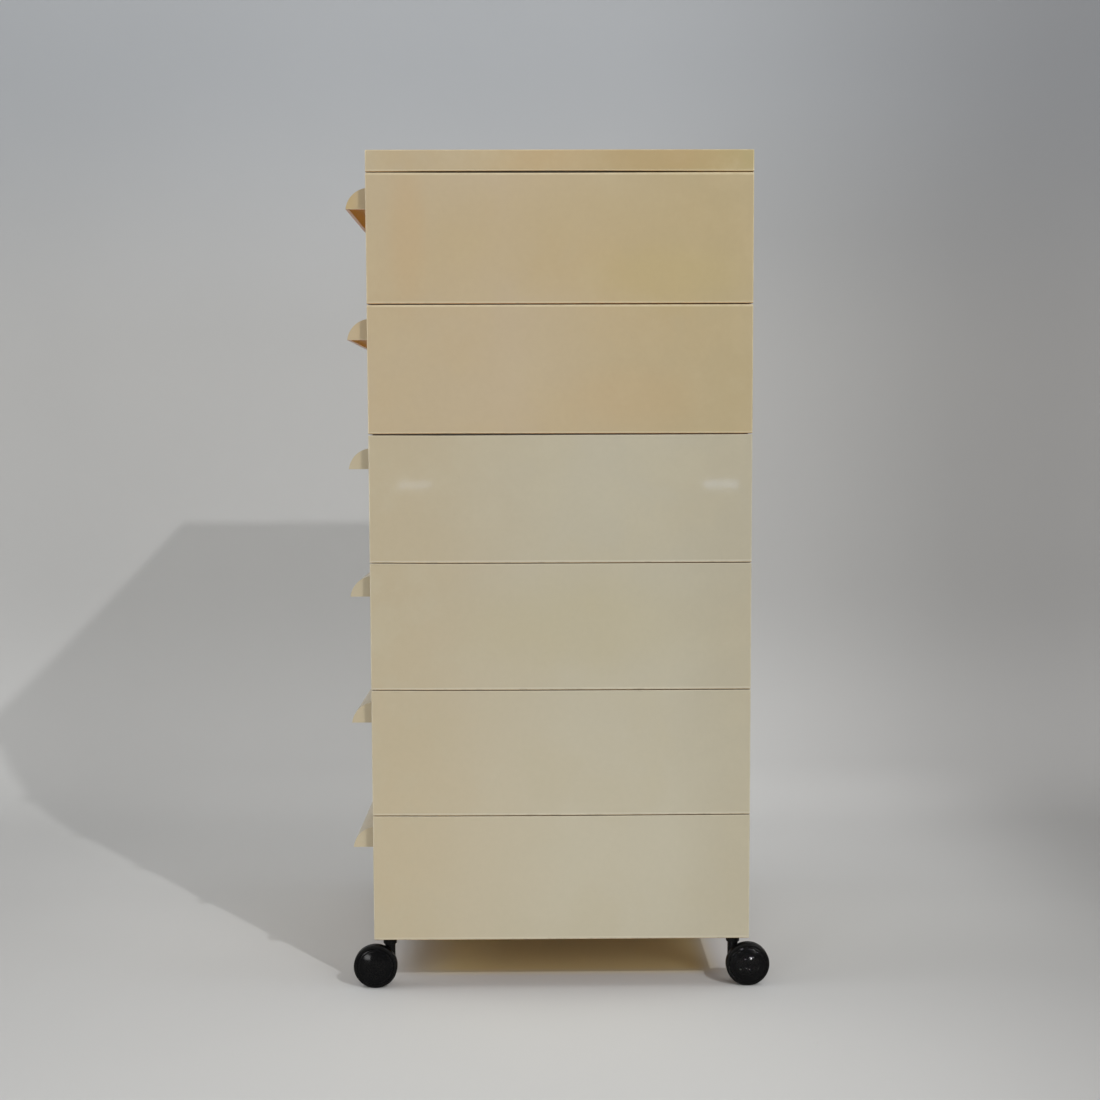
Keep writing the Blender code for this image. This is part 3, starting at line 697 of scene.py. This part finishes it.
# how far each unit's wall edges lie from their drawn height, in mm: lower edge, then upper edge,
# each at the front, near the front, in the middle and at the back
seamShifts = {
    1: ((0.0, 0.0, 0.0, 0.1), (0.2, -0.2, -0.3, 0.2)),
    2: ((0.4, 0.6, 0.4, 0.1), (-0.2, -0.2, -0.2, -0.2)),
    3: ((0.4, -0.3, -0.4, -0.4), (-0.2, -0.6, -0.3, -0.1)),
    4: ((0.4, -0.3, -0.4, -0.4), (0.6, -0.1, -0.25, -0.25)),
    5: ((0.3, -0.3, -0.5, -0.2), (0.6, -0.1, -0.25, -0.25)),
    6: ((0.0, -0.4, -0.4, -0.4), (0.5, -0.1, -0.35, 0.0)),
}


def socketPlaces():
    return [(side * chest["castorSide"], end * chest["castorEnd"]) for side in (-1, 1) for end in (-1, 1)]


def shellMesh(name, sockets):
    s = shellSizes
    halfX, halfY, height = chest["halfWidth"], chest["halfDepth"], s["height"]
    inX, inBack = halfX - chest["wall"], halfY - chest["wall"]
    floorTop = s["recess"] + s["floor"]
    flangeBottom = height - s["flangeThickness"]
    ledgeInner = inX - s["ledgeReach"]
    flangeInner = inX - s["flangeWidth"]
    blank = boxes(name + "Blank", [((-halfX, -halfY, 0.0), (halfX, halfY, height))])
    rounded(blank, s["edge"], 4)
    recess = boxes(name + "Recess", [((-inX, -halfY + s["frontRail"], -past), (inX, inBack, s["recess"]))])
    space = boxes(name + "Space", [((-inX, s["runnerFront"], floorTop), (inX, inBack, s["ledgeBottom"]))])
    middle = boxes(name + "Middle", [((-ledgeInner, s["runnerFront"], s["ledgeBottom"] - past),
                                      (ledgeInner, inBack, s["ledgeTop"] + 0.001))])
    above = boxes(name + "Above", [((-inX, s["runnerFront"], s["ledgeTop"]), (inX, inBack, flangeBottom))])
    mouth = boxes(name + "Mouth", [((-inX, -halfY - past, floorTop), (inX, s["runnerFront"], height + past))])
    opening = boxes(name + "Opening", [((-flangeInner, s["runnerFront"] - past, flangeBottom - past),
                                        (flangeInner, inBack - s["flangeWidth"], height + past))])
    lipOut, lipBack = inX - s["lipGap"], inBack - s["lipGap"]
    lipIn = lipOut - s["lipThickness"]
    lip = boxes(name + "Lip", [((-lipOut, s["runnerFront"], flangeBottom + 0.0003),
                                (lipOut, lipBack, s["lipTop"]))])
    lipInside = boxes(name + "LipInside", [((-lipIn, s["runnerFront"] - past, flangeBottom - past),
                                            (lipIn, lipBack - s["lipThickness"], s["lipTop"] + past))])
    combined(lip, "DIFFERENCE", lipInside)
    stops = []
    for side in (-1, 1):
        across = sorted((side * s["stopInner"], side * (inX + 0.002)))
        stops.append(((across[0], s["stopBack"] - s["stopLength"], s["ledgeTop"] - 0.0015),
                      (across[1], s["stopBack"], flangeBottom + 0.0015)))
    combined(blank, "DIFFERENCE", recess, space, middle, above, mouth, opening)
    combined(blank, "UNION", lip, boxes(name + "Stops", stops))
    depth = s["ribDepth"] + 0.0005
    ribbed(blank, name + "Ribs", s["ribs"],
           {"Width": 2 * (inX - s["ribClear"]), "Depth": 2 * (inBack - s["ribClear"]),
            "Thickness": s["ribThickness"], "Height": depth, "Material": paleCream},
           s["recess"] - s["ribDepth"] + depth / 2)
    if sockets:
        for kind, operation, radius, low, high in (
                ("Boss", "UNION", s["socketRadius"], 0.0, s["socketHeight"]),
                ("Bore", "DIFFERENCE", s["boreRadius"], -past, s["boreHeight"])):
            for number, place in enumerate(socketPlaces()):
                combined(blank, operation,
                         roundBar(f"{name}{kind}{number}", radius, low, high, "Z", place, 40))
    rounded(blank, s["fine"], 2, 40.0)
    mesh = tidied(takenFrom(blank, name))
    clearBench()
    return mesh


def unitBottom(number):
    return chest["ground"] + (chest["units"] - number) * chest["pitch"]


def unitFinish(number):
    yellowed = number <= chest["ageingTop"]
    return (yellowedCream, "yellowed_cream_abs") if yellowed else (paleCream, "pale_cream_abs")


def buildShells():
    plain = shellMesh("unitShell", False)
    lowest = shellMesh("unitShellWithSockets", True)
    for number in range(1, chest["units"] + 1):
        mesh = (lowest if number == chest["units"] else plain).copy()
        lower, upper = ([shift / 1000 for shift in shifts] for shifts in seamShifts[number])
        bowed(mesh, 0.0, shellSizes["height"], lower, upper)
        markEdges(tidied(mesh))
        material, slot = unitFinish(number)
        place = Matrix.Translation((0.0, 0.0, unitBottom(number)))
        finishPiece(f"unitShell{number}", mesh, material, "chest", [f"shell_{number}"], place)


drawerSizes = {
    "frontHalf": 0.2045,
    "frontBottom": 0.008,
    "frontTop": 0.1395,
    "frontBack": -0.206,
    "frontEdge": 0.0008,
    "trayHalf": 0.179,
    "trayBack": 0.196,
    "trayBottom": 0.010,
    "trayWall": 0.0025,
    "trayFloor": 0.0025,
    "rimTop": 0.136,
    "rimBottom": 0.133,
    "rimOuter": 0.2025,
    "earOuter": 0.2052,
    "earFront": 0.176,
    "pullRadius": 0.026,
    "pullWall": 0.0035,
    "pullHalf": 0.198,
    "pullCentreY": -0.207,
    "pullCentreZ": 0.100,
    "pullBottom": 0.103,
    "pullSteps": 18,
    "corner": 0.006,
    "fine": 0.0004,
}


def pullArc(radius):
    s = drawerSizes
    start = math.asin((s["pullBottom"] - s["pullCentreZ"]) / radius)
    end = math.pi / 2 - start
    angles = [start + (end - start) * step / s["pullSteps"] for step in range(s["pullSteps"] + 1)]
    return [(s["pullCentreY"] - radius * math.cos(angle), s["pullCentreZ"] + radius * math.sin(angle))
            for angle in angles]


def prism(name, outline, low, high):
    # a closed outline in the YZ plane, carried along X
    shape = bmesh.new()
    ends = [[shape.verts.new((x, y, z)) for y, z in outline] for x in (low, high)]
    for end in ends:
        shape.faces.new(end)
    for step in range(len(outline)):
        shape.faces.new((ends[0][step - 1], ends[0][step], ends[1][step], ends[1][step - 1]))
    bmesh.ops.recalc_face_normals(shape, faces=shape.faces)
    return onBench(name, meshFrom(name, shape))


def drawerMesh():
    s = drawerSizes
    front = -chest["halfDepth"]
    panel = boxes("drawerPanel", [((-s["frontHalf"], front, s["frontBottom"]),
                                   (s["frontHalf"], s["frontBack"], s["frontTop"]))])
    rounded(panel, s["frontEdge"], 3)
    inner = s["frontBack"] - 0.002
    tray = boxes("drawerTray", [((-s["trayHalf"], inner, s["trayBottom"]),
                                 (s["trayHalf"], s["trayBack"], s["rimTop"]))])
    rim = boxes("drawerRim", [((-s["rimOuter"], inner, s["rimBottom"]),
                               (s["rimOuter"], s["trayBack"] - s["trayWall"] / 2, s["rimTop"]))])
    ears = boxes("drawerEars", [((-s["earOuter"], s["earFront"], s["rimBottom"]),
                                 (s["earOuter"], s["trayBack"] - s["trayWall"] / 2, s["rimTop"]))])
    wall = s["trayWall"]
    floorTop = s["trayBottom"] + s["trayFloor"]
    inside = boxes("drawerInside", [((-s["trayHalf"] + wall, s["frontBack"], floorTop),
                                     (s["trayHalf"] - wall, s["trayBack"] - wall, s["rimTop"] + 0.02))])
    rounded(inside, s["corner"], 5)
    arc = pullArc(s["pullRadius"])
    pull = prism("drawerPull", arc + [(front + 0.002, arc[-1][1]), (front + 0.002, s["pullBottom"])],
                 -s["pullHalf"], s["pullHalf"])
    below = s["pullBottom"] - past
    arc = pullArc(s["pullRadius"] - s["pullWall"])
    half = s["pullHalf"] - s["pullWall"]
    hollow = prism("drawerPullHollow", [(arc[0][0], below)] + arc + [(front, below)], -half, half)
    combined(panel, "UNION", tray, rim, ears, pull)
    combined(panel, "DIFFERENCE", inside, hollow)
    rounded(panel, s["fine"], 2, 40.0)
    mesh = tidied(takenFrom(panel, "unitDrawer"))
    clearBench()
    markHoodGlow(mesh, s["pullCentreY"], s["pullCentreZ"], s["pullRadius"] - 0.0025, s["pullHalf"] - 0.003)
    return markEdges(mesh)


def buildDrawers():
    pattern = drawerMesh()
    for number in range(1, chest["units"] + 1):
        material, slot = unitFinish(number)
        place = Matrix.Translation((0.0, 0.0, unitBottom(number)))
        finishPiece(f"unitDrawer{number}", pattern.copy(), material, f"drawer_{number}",
                    [f"drawer_{number}"], place)


buildCover()
buildShells()
buildDrawers()
print("units ready")


# Castors: a bush in the socket, a stem with its arm, and a disc wheel with a domed cap

castorSizes = {
    "trail": 0.0155,
    "restGap": 0.0003,
    "bushRadius": 0.006,
    "bushLength": 0.026,
    "bore": 0.00425,
    "collarRadius": 0.0076,
    "collarHeight": 0.0095,
    "stemRadius": 0.0058,
    "stemTop": 0.0469,
    "stemFoot": 0.016,
    "pinHole": 0.0246,
    "armRadius": 0.0175,
    "armHalf": 0.004,
    "bossRadius": 0.007,
    "axleHole": 0.00315,
    "wheelRadius": 0.0245,
    "wheelInner": 0.0065,
    "wheelOuter": 0.0155,
    "wheelEdge": 0.0016,
    "wheelRim": 0.0035,
    "web": 0.0025,
    "hubRadius": 0.0065,
    "capRadius": 0.0205,
    "capSeat": 0.014,
    "capBulge": 0.0045,
    "capThickness": 0.0016,
    "capSkirt": 0.0025,
    "capRing": 0.86,         # a shallow step runs round the dome at this share of its radius
    "capSteps": 12,
    "wheelRibs": 8,
    "wheelRibThickness": 0.0012,
    "chamfer": 0.0003,       # at bores and seats
    "rimChamfer": 0.0005,
    "root": 0.001,           # where a wall meets the web
    "steps": 72,
}


def quarter(cx, cz, radius, first, last, steps=4):
    # points of an arc around (cx, cz) between two angles in degrees
    return [(cx + radius * math.cos(math.radians(first + (last - first) * i / steps)),
             cz + radius * math.sin(math.radians(first + (last - first) * i / steps)))
            for i in range(steps + 1)]


def turned(name, profile, closed, material, steps):
    points = profile + [profile[0]] if closed else profile
    mesh = bpy.data.meshes.new(name + "Profile")
    mesh.from_pydata([(radius, 0.0, height) for radius, height in points], [], [])
    spun = grown(name, turnedGroup, {"Steps": steps, "Material": material}, mesh)
    made = tidied(takenFrom(spun, name), 28.0)
    clearBench()
    return made


def bushMesh():
    s = castorSizes
    shoulder = chest["ground"] - s["restGap"]
    bottom = shoulder - s["collarHeight"]
    top = shoulder + s["bushLength"]
    outer = s["collarRadius"]
    profile = ([(s["bore"], top), (s["bushRadius"] - 0.0006, top), (s["bushRadius"], top - 0.0006),
                (s["bushRadius"], shoulder)]
               + quarter(outer - 0.0006, shoulder - 0.0006, 0.0006, 90, 0)
               + quarter(outer - 0.0008, bottom + 0.0008, 0.0008, 0, -90)
               + [(s["bore"] + 0.0004, bottom), (s["bore"], bottom + 0.0004)])
    return turned("castorBush", profile, True, mouldedNylon, 56)


def wheelMesh():
    s = castorSizes
    r, edge = s["wheelRadius"], s["wheelEdge"]
    low, high = s["wheelInner"], s["wheelOuter"]
    seat = s["capRadius"] + s["restGap"]
    tip = s["capSeat"] - s["web"]
    hollow = r - s["wheelRim"]
    bore, hub = s["axleHole"], s["hubRadius"]
    small, rim, root = s["chamfer"], s["rimChamfer"], s["root"]
    profile = ([(0.0, s["capSeat"]), (seat, s["capSeat"]), (seat, high - small), (seat + small, high)]
               + quarter(r - edge, high - edge, edge, 90, 0, 6)
               + quarter(r - edge, low + edge, edge, 0, -90, 6)
               + [(hollow + rim, low), (hollow, low + rim), (hollow, tip - root), (hollow - root, tip),
                  (hub + root, tip), (hub, tip - root), (hub, low + rim), (hub - rim, low),
                  (bore + small, low), (bore, low + small), (bore, tip), (0.0, tip)])
    disc = turned("castorWheel", profile, False, wheelNylon, s["steps"])
    ribs = grown("castorWheelRibs", ringGroup,
                 {"Count": s["wheelRibs"], "Inner": hub - 0.0004, "Outer": hollow + 0.0004,
                  "Thickness": s["wheelRibThickness"], "Low": low + 0.0015, "High": tip + 0.0004,
                  "Material": wheelNylon})
    shape = bmesh.new()
    shape.from_mesh(disc)
    shape.from_mesh(takenFrom(ribs, "castorWheelRibBars"))
    clearBench()
    shape.to_mesh(disc)
    shape.free()
    return disc


def capMesh():
    s = castorSizes
    bottom = s["capSeat"] + s["restGap"]
    radius, rise, foot = s["capRadius"], s["capBulge"], s["wheelOuter"]
    inside = radius - s["capSkirt"]
    ring, steps = s["capRing"] * radius, s["capSteps"]
    dome = [(0.0, foot + rise)]
    for step in range(1, steps + 1):
        share = step / steps * ring / radius
        dome.append((share * radius, foot + rise * (1 - share * share)))
    stepDown = dome[-1][1] - 0.00045
    dome += [(ring + 0.0003, stepDown), (ring + 0.0012, stepDown - 0.0002),
             (radius - 0.0007, foot + 0.00035), (radius - 0.0002, foot + 0.0001), (radius, foot - 0.0003)]
    roof = [(inside, bottom), (inside, foot - 0.0006)]
    for step in reversed(range(steps)):
        share = step / steps
        roof.append((share * inside, foot + rise * (1 - share * share) - s["capThickness"]))
    profile = dome + [(radius, bottom)] + roof
    return turned("castorCap", profile, False, capNylon, s["steps"])


def bodyMesh(outboard):
    s = castorSizes
    axle = (-s["trail"], s["wheelRadius"])
    stem = roundBar("castorStem", s["stemRadius"], s["stemFoot"], s["stemTop"])
    arm = roundBar("castorArm", s["armRadius"], -s["armHalf"], s["armHalf"], "X", axle, 72)
    ends = sorted((-outboard * s["stemRadius"], outboard * (s["wheelInner"] - s["restGap"])))
    boss = roundBar("castorBoss", s["bossRadius"], *ends, "X", axle)
    pinHole = roundBar("castorPinHole", s["bore"], s["pinHole"], s["stemTop"] + past)
    reach = s["wheelInner"] + past
    axleHole = roundBar("castorAxleHole", s["axleHole"], -reach, reach, "X", axle, 32)
    combined(stem, "UNION", arm, boss)
    combined(stem, "DIFFERENCE", pinHole, axleHole)
    rounded(stem, 0.0006, 3, 35.0)
    mesh = tidied(takenFrom(stem, "castorBody"), 28.0)
    clearBench()
    return mesh


def buildCastors():
    s = castorSizes
    bush, wheel, cap = bushMesh(), wheelMesh(), capMesh()
    bodies = {1: bodyMesh(1), -1: bodyMesh(-1)}
    for end, endName in ((-1, "front"), (1, "back")):
        for side, sideName in ((-1, "left"), (1, "right")):
            corner = f"{endName}_{sideName}_castor"
            label = f"{endName}{sideName.capitalize()}"
            outboard = -side * end
            stem = Matrix.Translation((side * chest["castorSide"], end * chest["castorEnd"], 0.0))
            heading = stem @ Matrix.Rotation(math.pi if end > 0 else 0.0, 4, "Z")
            axle = heading @ Matrix.Translation((0.0, -s["trail"], s["wheelRadius"]))
            axle = axle @ Matrix.Rotation(outboard * math.pi / 2, 4, "Y")
            for part, mesh, material, body, slot, place in (
                    ("bush", bush, mouldedNylon, "chest", "black_nylon", stem),
                    ("body", bodies[outboard], mouldedNylon, f"{corner}_fork", "black_nylon", heading),
                    ("wheel", wheel, wheelNylon, f"{corner}_roller", "black_wheel_nylon", axle),
                    ("cap", cap, capNylon, f"{corner}_roller", "black_glossy_nylon", axle)):
                copy = markEdges(mesh.copy())
                finishPiece(f"{label}Castor{part.capitalize()}", copy, material, body,
                            [f"{corner}_{part}"], place)
            for part in ("pin", "axle"):
                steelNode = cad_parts[f"{corner}_{part}"]
                for index in range(len(steelNode.material_slots)):
                    steelNode.material_slots[index].material = zincSteel


buildCastors()
print("castors ready")


# Stage: a paper sweep behind the chest, seen only from its front, on a wide pale floor

stageSizes = {"wallAt": -0.85, "bendLength": 0.62, "bendSteps": 48, "wallTop": 3.2, "halfLength": 4.5,
              "floorFront": 5.0, "floorBack": -6.0}
paperLook = {"colour": "#CBCBCA", "paintedFalloffRight": "#9D9C9B", "paintedFalloffLeft": "#F5F5F5", "upper": "#F1F1F1",
             "top": "#E1E5EB", "behind": "#DEDEDD", "paintedBounceBelow": "#D9CA98"}


def paper(name, look):
    # coated paper roll: matt, nearly neutral grey, with a painted falloff that darkens it towards its sides
    # and upwards
    material, tree, shader, place = shaderTree(name, 0.85, 1.45)
    axes = addNode(tree, "ShaderNodeSeparateXYZ", {0: place}).outputs
    fibre = maths(tree, "MULTIPLY_ADD", noise(tree, place, 2.2, 3.0), 0.06, 0.97)
    # painted falloff: darker towards the right side
    tone = tinted(tree, linear(look["colour"]), look["paintedFalloffRight"], span(tree, axes[1], 0.05, 0.95))
    aside = maths(tree, "ABSOLUTE", axes[1])
    # painted light: a lighter tone on the floor just behind the chest, lifting the shade around its foot
    behind = band(tree, (axes[0], 0.25, -0.1, 0.0, 0.30), (axes[2], 0.06, 0.0), (aside, 0.85, 0.50))
    tone = tinted(tree, tone, look["behind"], behind)
    # painted light: the floor below the chest is tinted amber, for the little light that reaches it off the
    # amber plastic
    paintedBounceBelow = band(tree, (axes[1], 0.190, 0.150), (axes[1], -0.20, -0.11), (axes[0], 0.172, 0.140),
                   (axes[0], -0.10, 0.02))
    tone = tinted(tree, tone, look["paintedBounceBelow"], paintedBounceBelow)
    # painted falloff: a little darker to the far left and upwards, and bluish at the top
    tone = tinted(tree, tone, look["paintedFalloffLeft"], span(tree, axes[1], -0.25, -1.0), "MULTIPLY")
    tone = tinted(tree, tone, look["upper"], span(tree, axes[2], 0.1, 1.0), "MULTIPLY")
    tone = tinted(tree, tone, look["top"], span(tree, axes[2], 0.7, 1.3), "MULTIPLY")
    tree.links.new(shaded(tree, tone, fibre), shader.inputs["Base Color"])
    clear = addNode(tree, "ShaderNodeBsdfTransparent")
    back = addNode(tree, "ShaderNodeNewGeometry").outputs["Backfacing"]
    either = addNode(tree, "ShaderNodeMixShader", {0: back, 1: shader.outputs[0], 2: clear.outputs[0]})
    tree.links.new(either.outputs[0], tree.nodes["Material Output"].inputs["Surface"])
    return material


def facingUp(name, shape, material):
    # the sheet's mesh with its first face, on the floor, turned up
    bmesh.ops.recalc_face_normals(shape, faces=shape.faces)
    shape.faces.ensure_lookup_table()
    if shape.faces[0].normal.z < 0:
        bmesh.ops.reverse_faces(shape, faces=shape.faces)
    mesh = meshFrom(name, shape)
    mesh.materials.append(material)
    return linked(name, mesh)


def buildStage():
    s = stageSizes
    greyPaper = paper("greyPaperSweep", paperLook)
    # the paper bends up slowly at first and at the end, so that no horizon shows
    bend, stretch = [(0.0, 0.0)], s["bendLength"] / s["bendSteps"]
    for step in range(s["bendSteps"]):
        share = (step + 0.5) / s["bendSteps"]
        tilt = math.pi / 2 * share * share * (3 - 2 * share)
        bend.append((bend[-1][0] - stretch * math.cos(tilt), bend[-1][1] + stretch * math.sin(tilt)))
    foot = s["wallAt"] - bend[-1][0]
    profile = [(s["floorFront"], 0.0)] + [(foot + x, z) for x, z in bend] + [(s["wallAt"], s["wallTop"])]
    shape = bmesh.new()
    rows = [[shape.verts.new((x, y, z)) for x, z in profile] for y in (-s["halfLength"], s["halfLength"])]
    for step in range(1, len(profile)):
        shape.faces.new((rows[0][step - 1], rows[1][step - 1], rows[1][step], rows[0][step]))
    sweep = facingUp("paperSweep", shape, greyPaper)
    sweep.data.shade_smooth()
    # the floor goes on behind the sweep, for the views from that side
    shape = bmesh.new()
    for x, y in ((s["floorBack"], -s["halfLength"]), (foot, -s["halfLength"]),
                 (foot, s["halfLength"]), (s["floorBack"], s["halfLength"])):
        shape.verts.new((x, y, -0.0005))
    shape.faces.new(shape.verts)
    behind = facingUp("floorBehind", shape, greyPaper)


buildStage()
print("stage ready")


# Light and camera

lamps = {
    # name: (place, aim, width, height, watts, colour)
    "keyFromTheRight": ((3.83, 2.61, 3.84), (0.0, 0.0, 0.45), 0.09, 0.09, 91.0, "#FFFFFF"),
    "softBoxInFront": ((3.3, -0.4, 2.4), (0.0, 0.0, 0.3), 1.2, 0.9, 6.5, "#FFFFFF"),
    "fillRight": ((2.2, 1.5, 1.0), (0.1, 0.0, 0.2), 0.8, 0.8, 12.7, "#FFFFFF"),
    "lowFillLeft": ((3.0, -1.6, 0.5), (0.2, 0.0, 0.3), 0.8, 0.6, 18.5, "#FFFFFF"),
    "overheadRight": ((0.2, 1.4, 2.4), (0.0, 0.2, 0.0), 1.2, 1.2, 11.0, "#FFFFFF"),
    "overheadLeft": ((0.2, -1.4, 2.4), (0.0, -0.2, 0.0), 1.2, 1.2, 11.5, "#FFFFFF"),
    "frontWash": ((0.1, -1.7, 1.0), (0.0, -0.21, 0.62), 0.7, 0.7, 0.8, "#FFFFFF"),
    "smallLampLeft": ((2.2, -0.318, 0.50), (0.21, -0.2, 0.55), 0.08, 0.015, 0.032, "#C9DDFF"),
    "smallLampRight": ((2.2, 0.422, 0.50), (0.21, 0.14, 0.55), 0.085, 0.015, 0.046, "#C9DDFF"),
    "lowSparkle": ((2.13, 0.76, 0.06), (0.21, 0.2095, 0.02), 0.06, 0.06, 0.005, "#FFFFFF"),
}
# these two light only what they are aimed at
lampSpreads = {"frontWash": 55, "lowSparkle": 1.6}


def buildLamps():
    for name, (place, aim, width, height, watts, colour) in lamps.items():
        data = bpy.data.lights.new(name, "AREA")
        data.shape = "RECTANGLE"
        data.size = width
        data.size_y = height
        data.energy = watts
        data.color = linear(colour)[:3]
        data.spread = math.radians(lampSpreads.get(name, 180))
        made = linked(name, data)
        made.location = place
        made.visible_camera = False
        made.rotation_euler = (Vector(aim) - Vector(place)).to_track_quat("-Z", "Y").to_euler()


roomLight = {"colour": "#F4F4F3", "strength": 0.40, "seen": "#B9BABC"}


def buildWorld():
    world = bpy.data.worlds.new("softRoom")
    bpy.context.scene.world = world
    world.use_nodes = True
    tree = world.node_tree
    light = tree.nodes["Background"]
    light.inputs["Color"].default_value = linear(roomLight["colour"])
    light.inputs["Strength"].default_value = roomLight["strength"]
    seen = addNode(tree, "ShaderNodeBackground", {"Color": linear(roomLight["seen"]), "Strength": 1.0})
    camera = addNode(tree, "ShaderNodeLightPath").outputs["Is Camera Ray"]
    either = addNode(tree, "ShaderNodeMixShader", {0: camera, 1: light.outputs[0], 2: seen.outputs[0]})
    tree.links.new(either.outputs[0], tree.nodes["World Output"].inputs["Surface"])


cameraPlace = {
    "position": (1.88284, -0.02969, 0.62135),
    "yaw": 0.01062,
    "pitch": -0.07605,
    "roll": -0.0032,
    "lens": 50.0,
    "sensor": 36.0,
    "clip": (0.05, 40.0),
}


def buildCamera():
    s = cameraPlace
    data = bpy.data.cameras.new("sideView")
    data.lens = s["lens"]
    data.sensor_width = s["sensor"]
    data.clip_start, data.clip_end = s["clip"]
    yaw, pitch, roll = s["yaw"], s["pitch"], s["roll"]
    ahead = Vector((-math.cos(yaw) * math.cos(pitch), math.sin(yaw) * math.cos(pitch), math.sin(pitch)))
    level = Vector((math.sin(yaw), math.cos(yaw), 0.0))
    upright = level.cross(ahead)
    right = math.cos(roll) * level + math.sin(roll) * upright
    up = -math.sin(roll) * level + math.cos(roll) * upright
    made = linked("sideView", data)
    turn = Matrix((right, up, -ahead)).transposed().to_4x4()
    made.matrix_world = Matrix.Translation(s["position"]) @ turn
    bpy.context.scene.camera = made


buildLamps()
buildWorld()
buildCamera()
bpy.context.scene.view_settings.view_transform = "Standard"
print("light and camera ready")

bpy.context.view_layer.update()
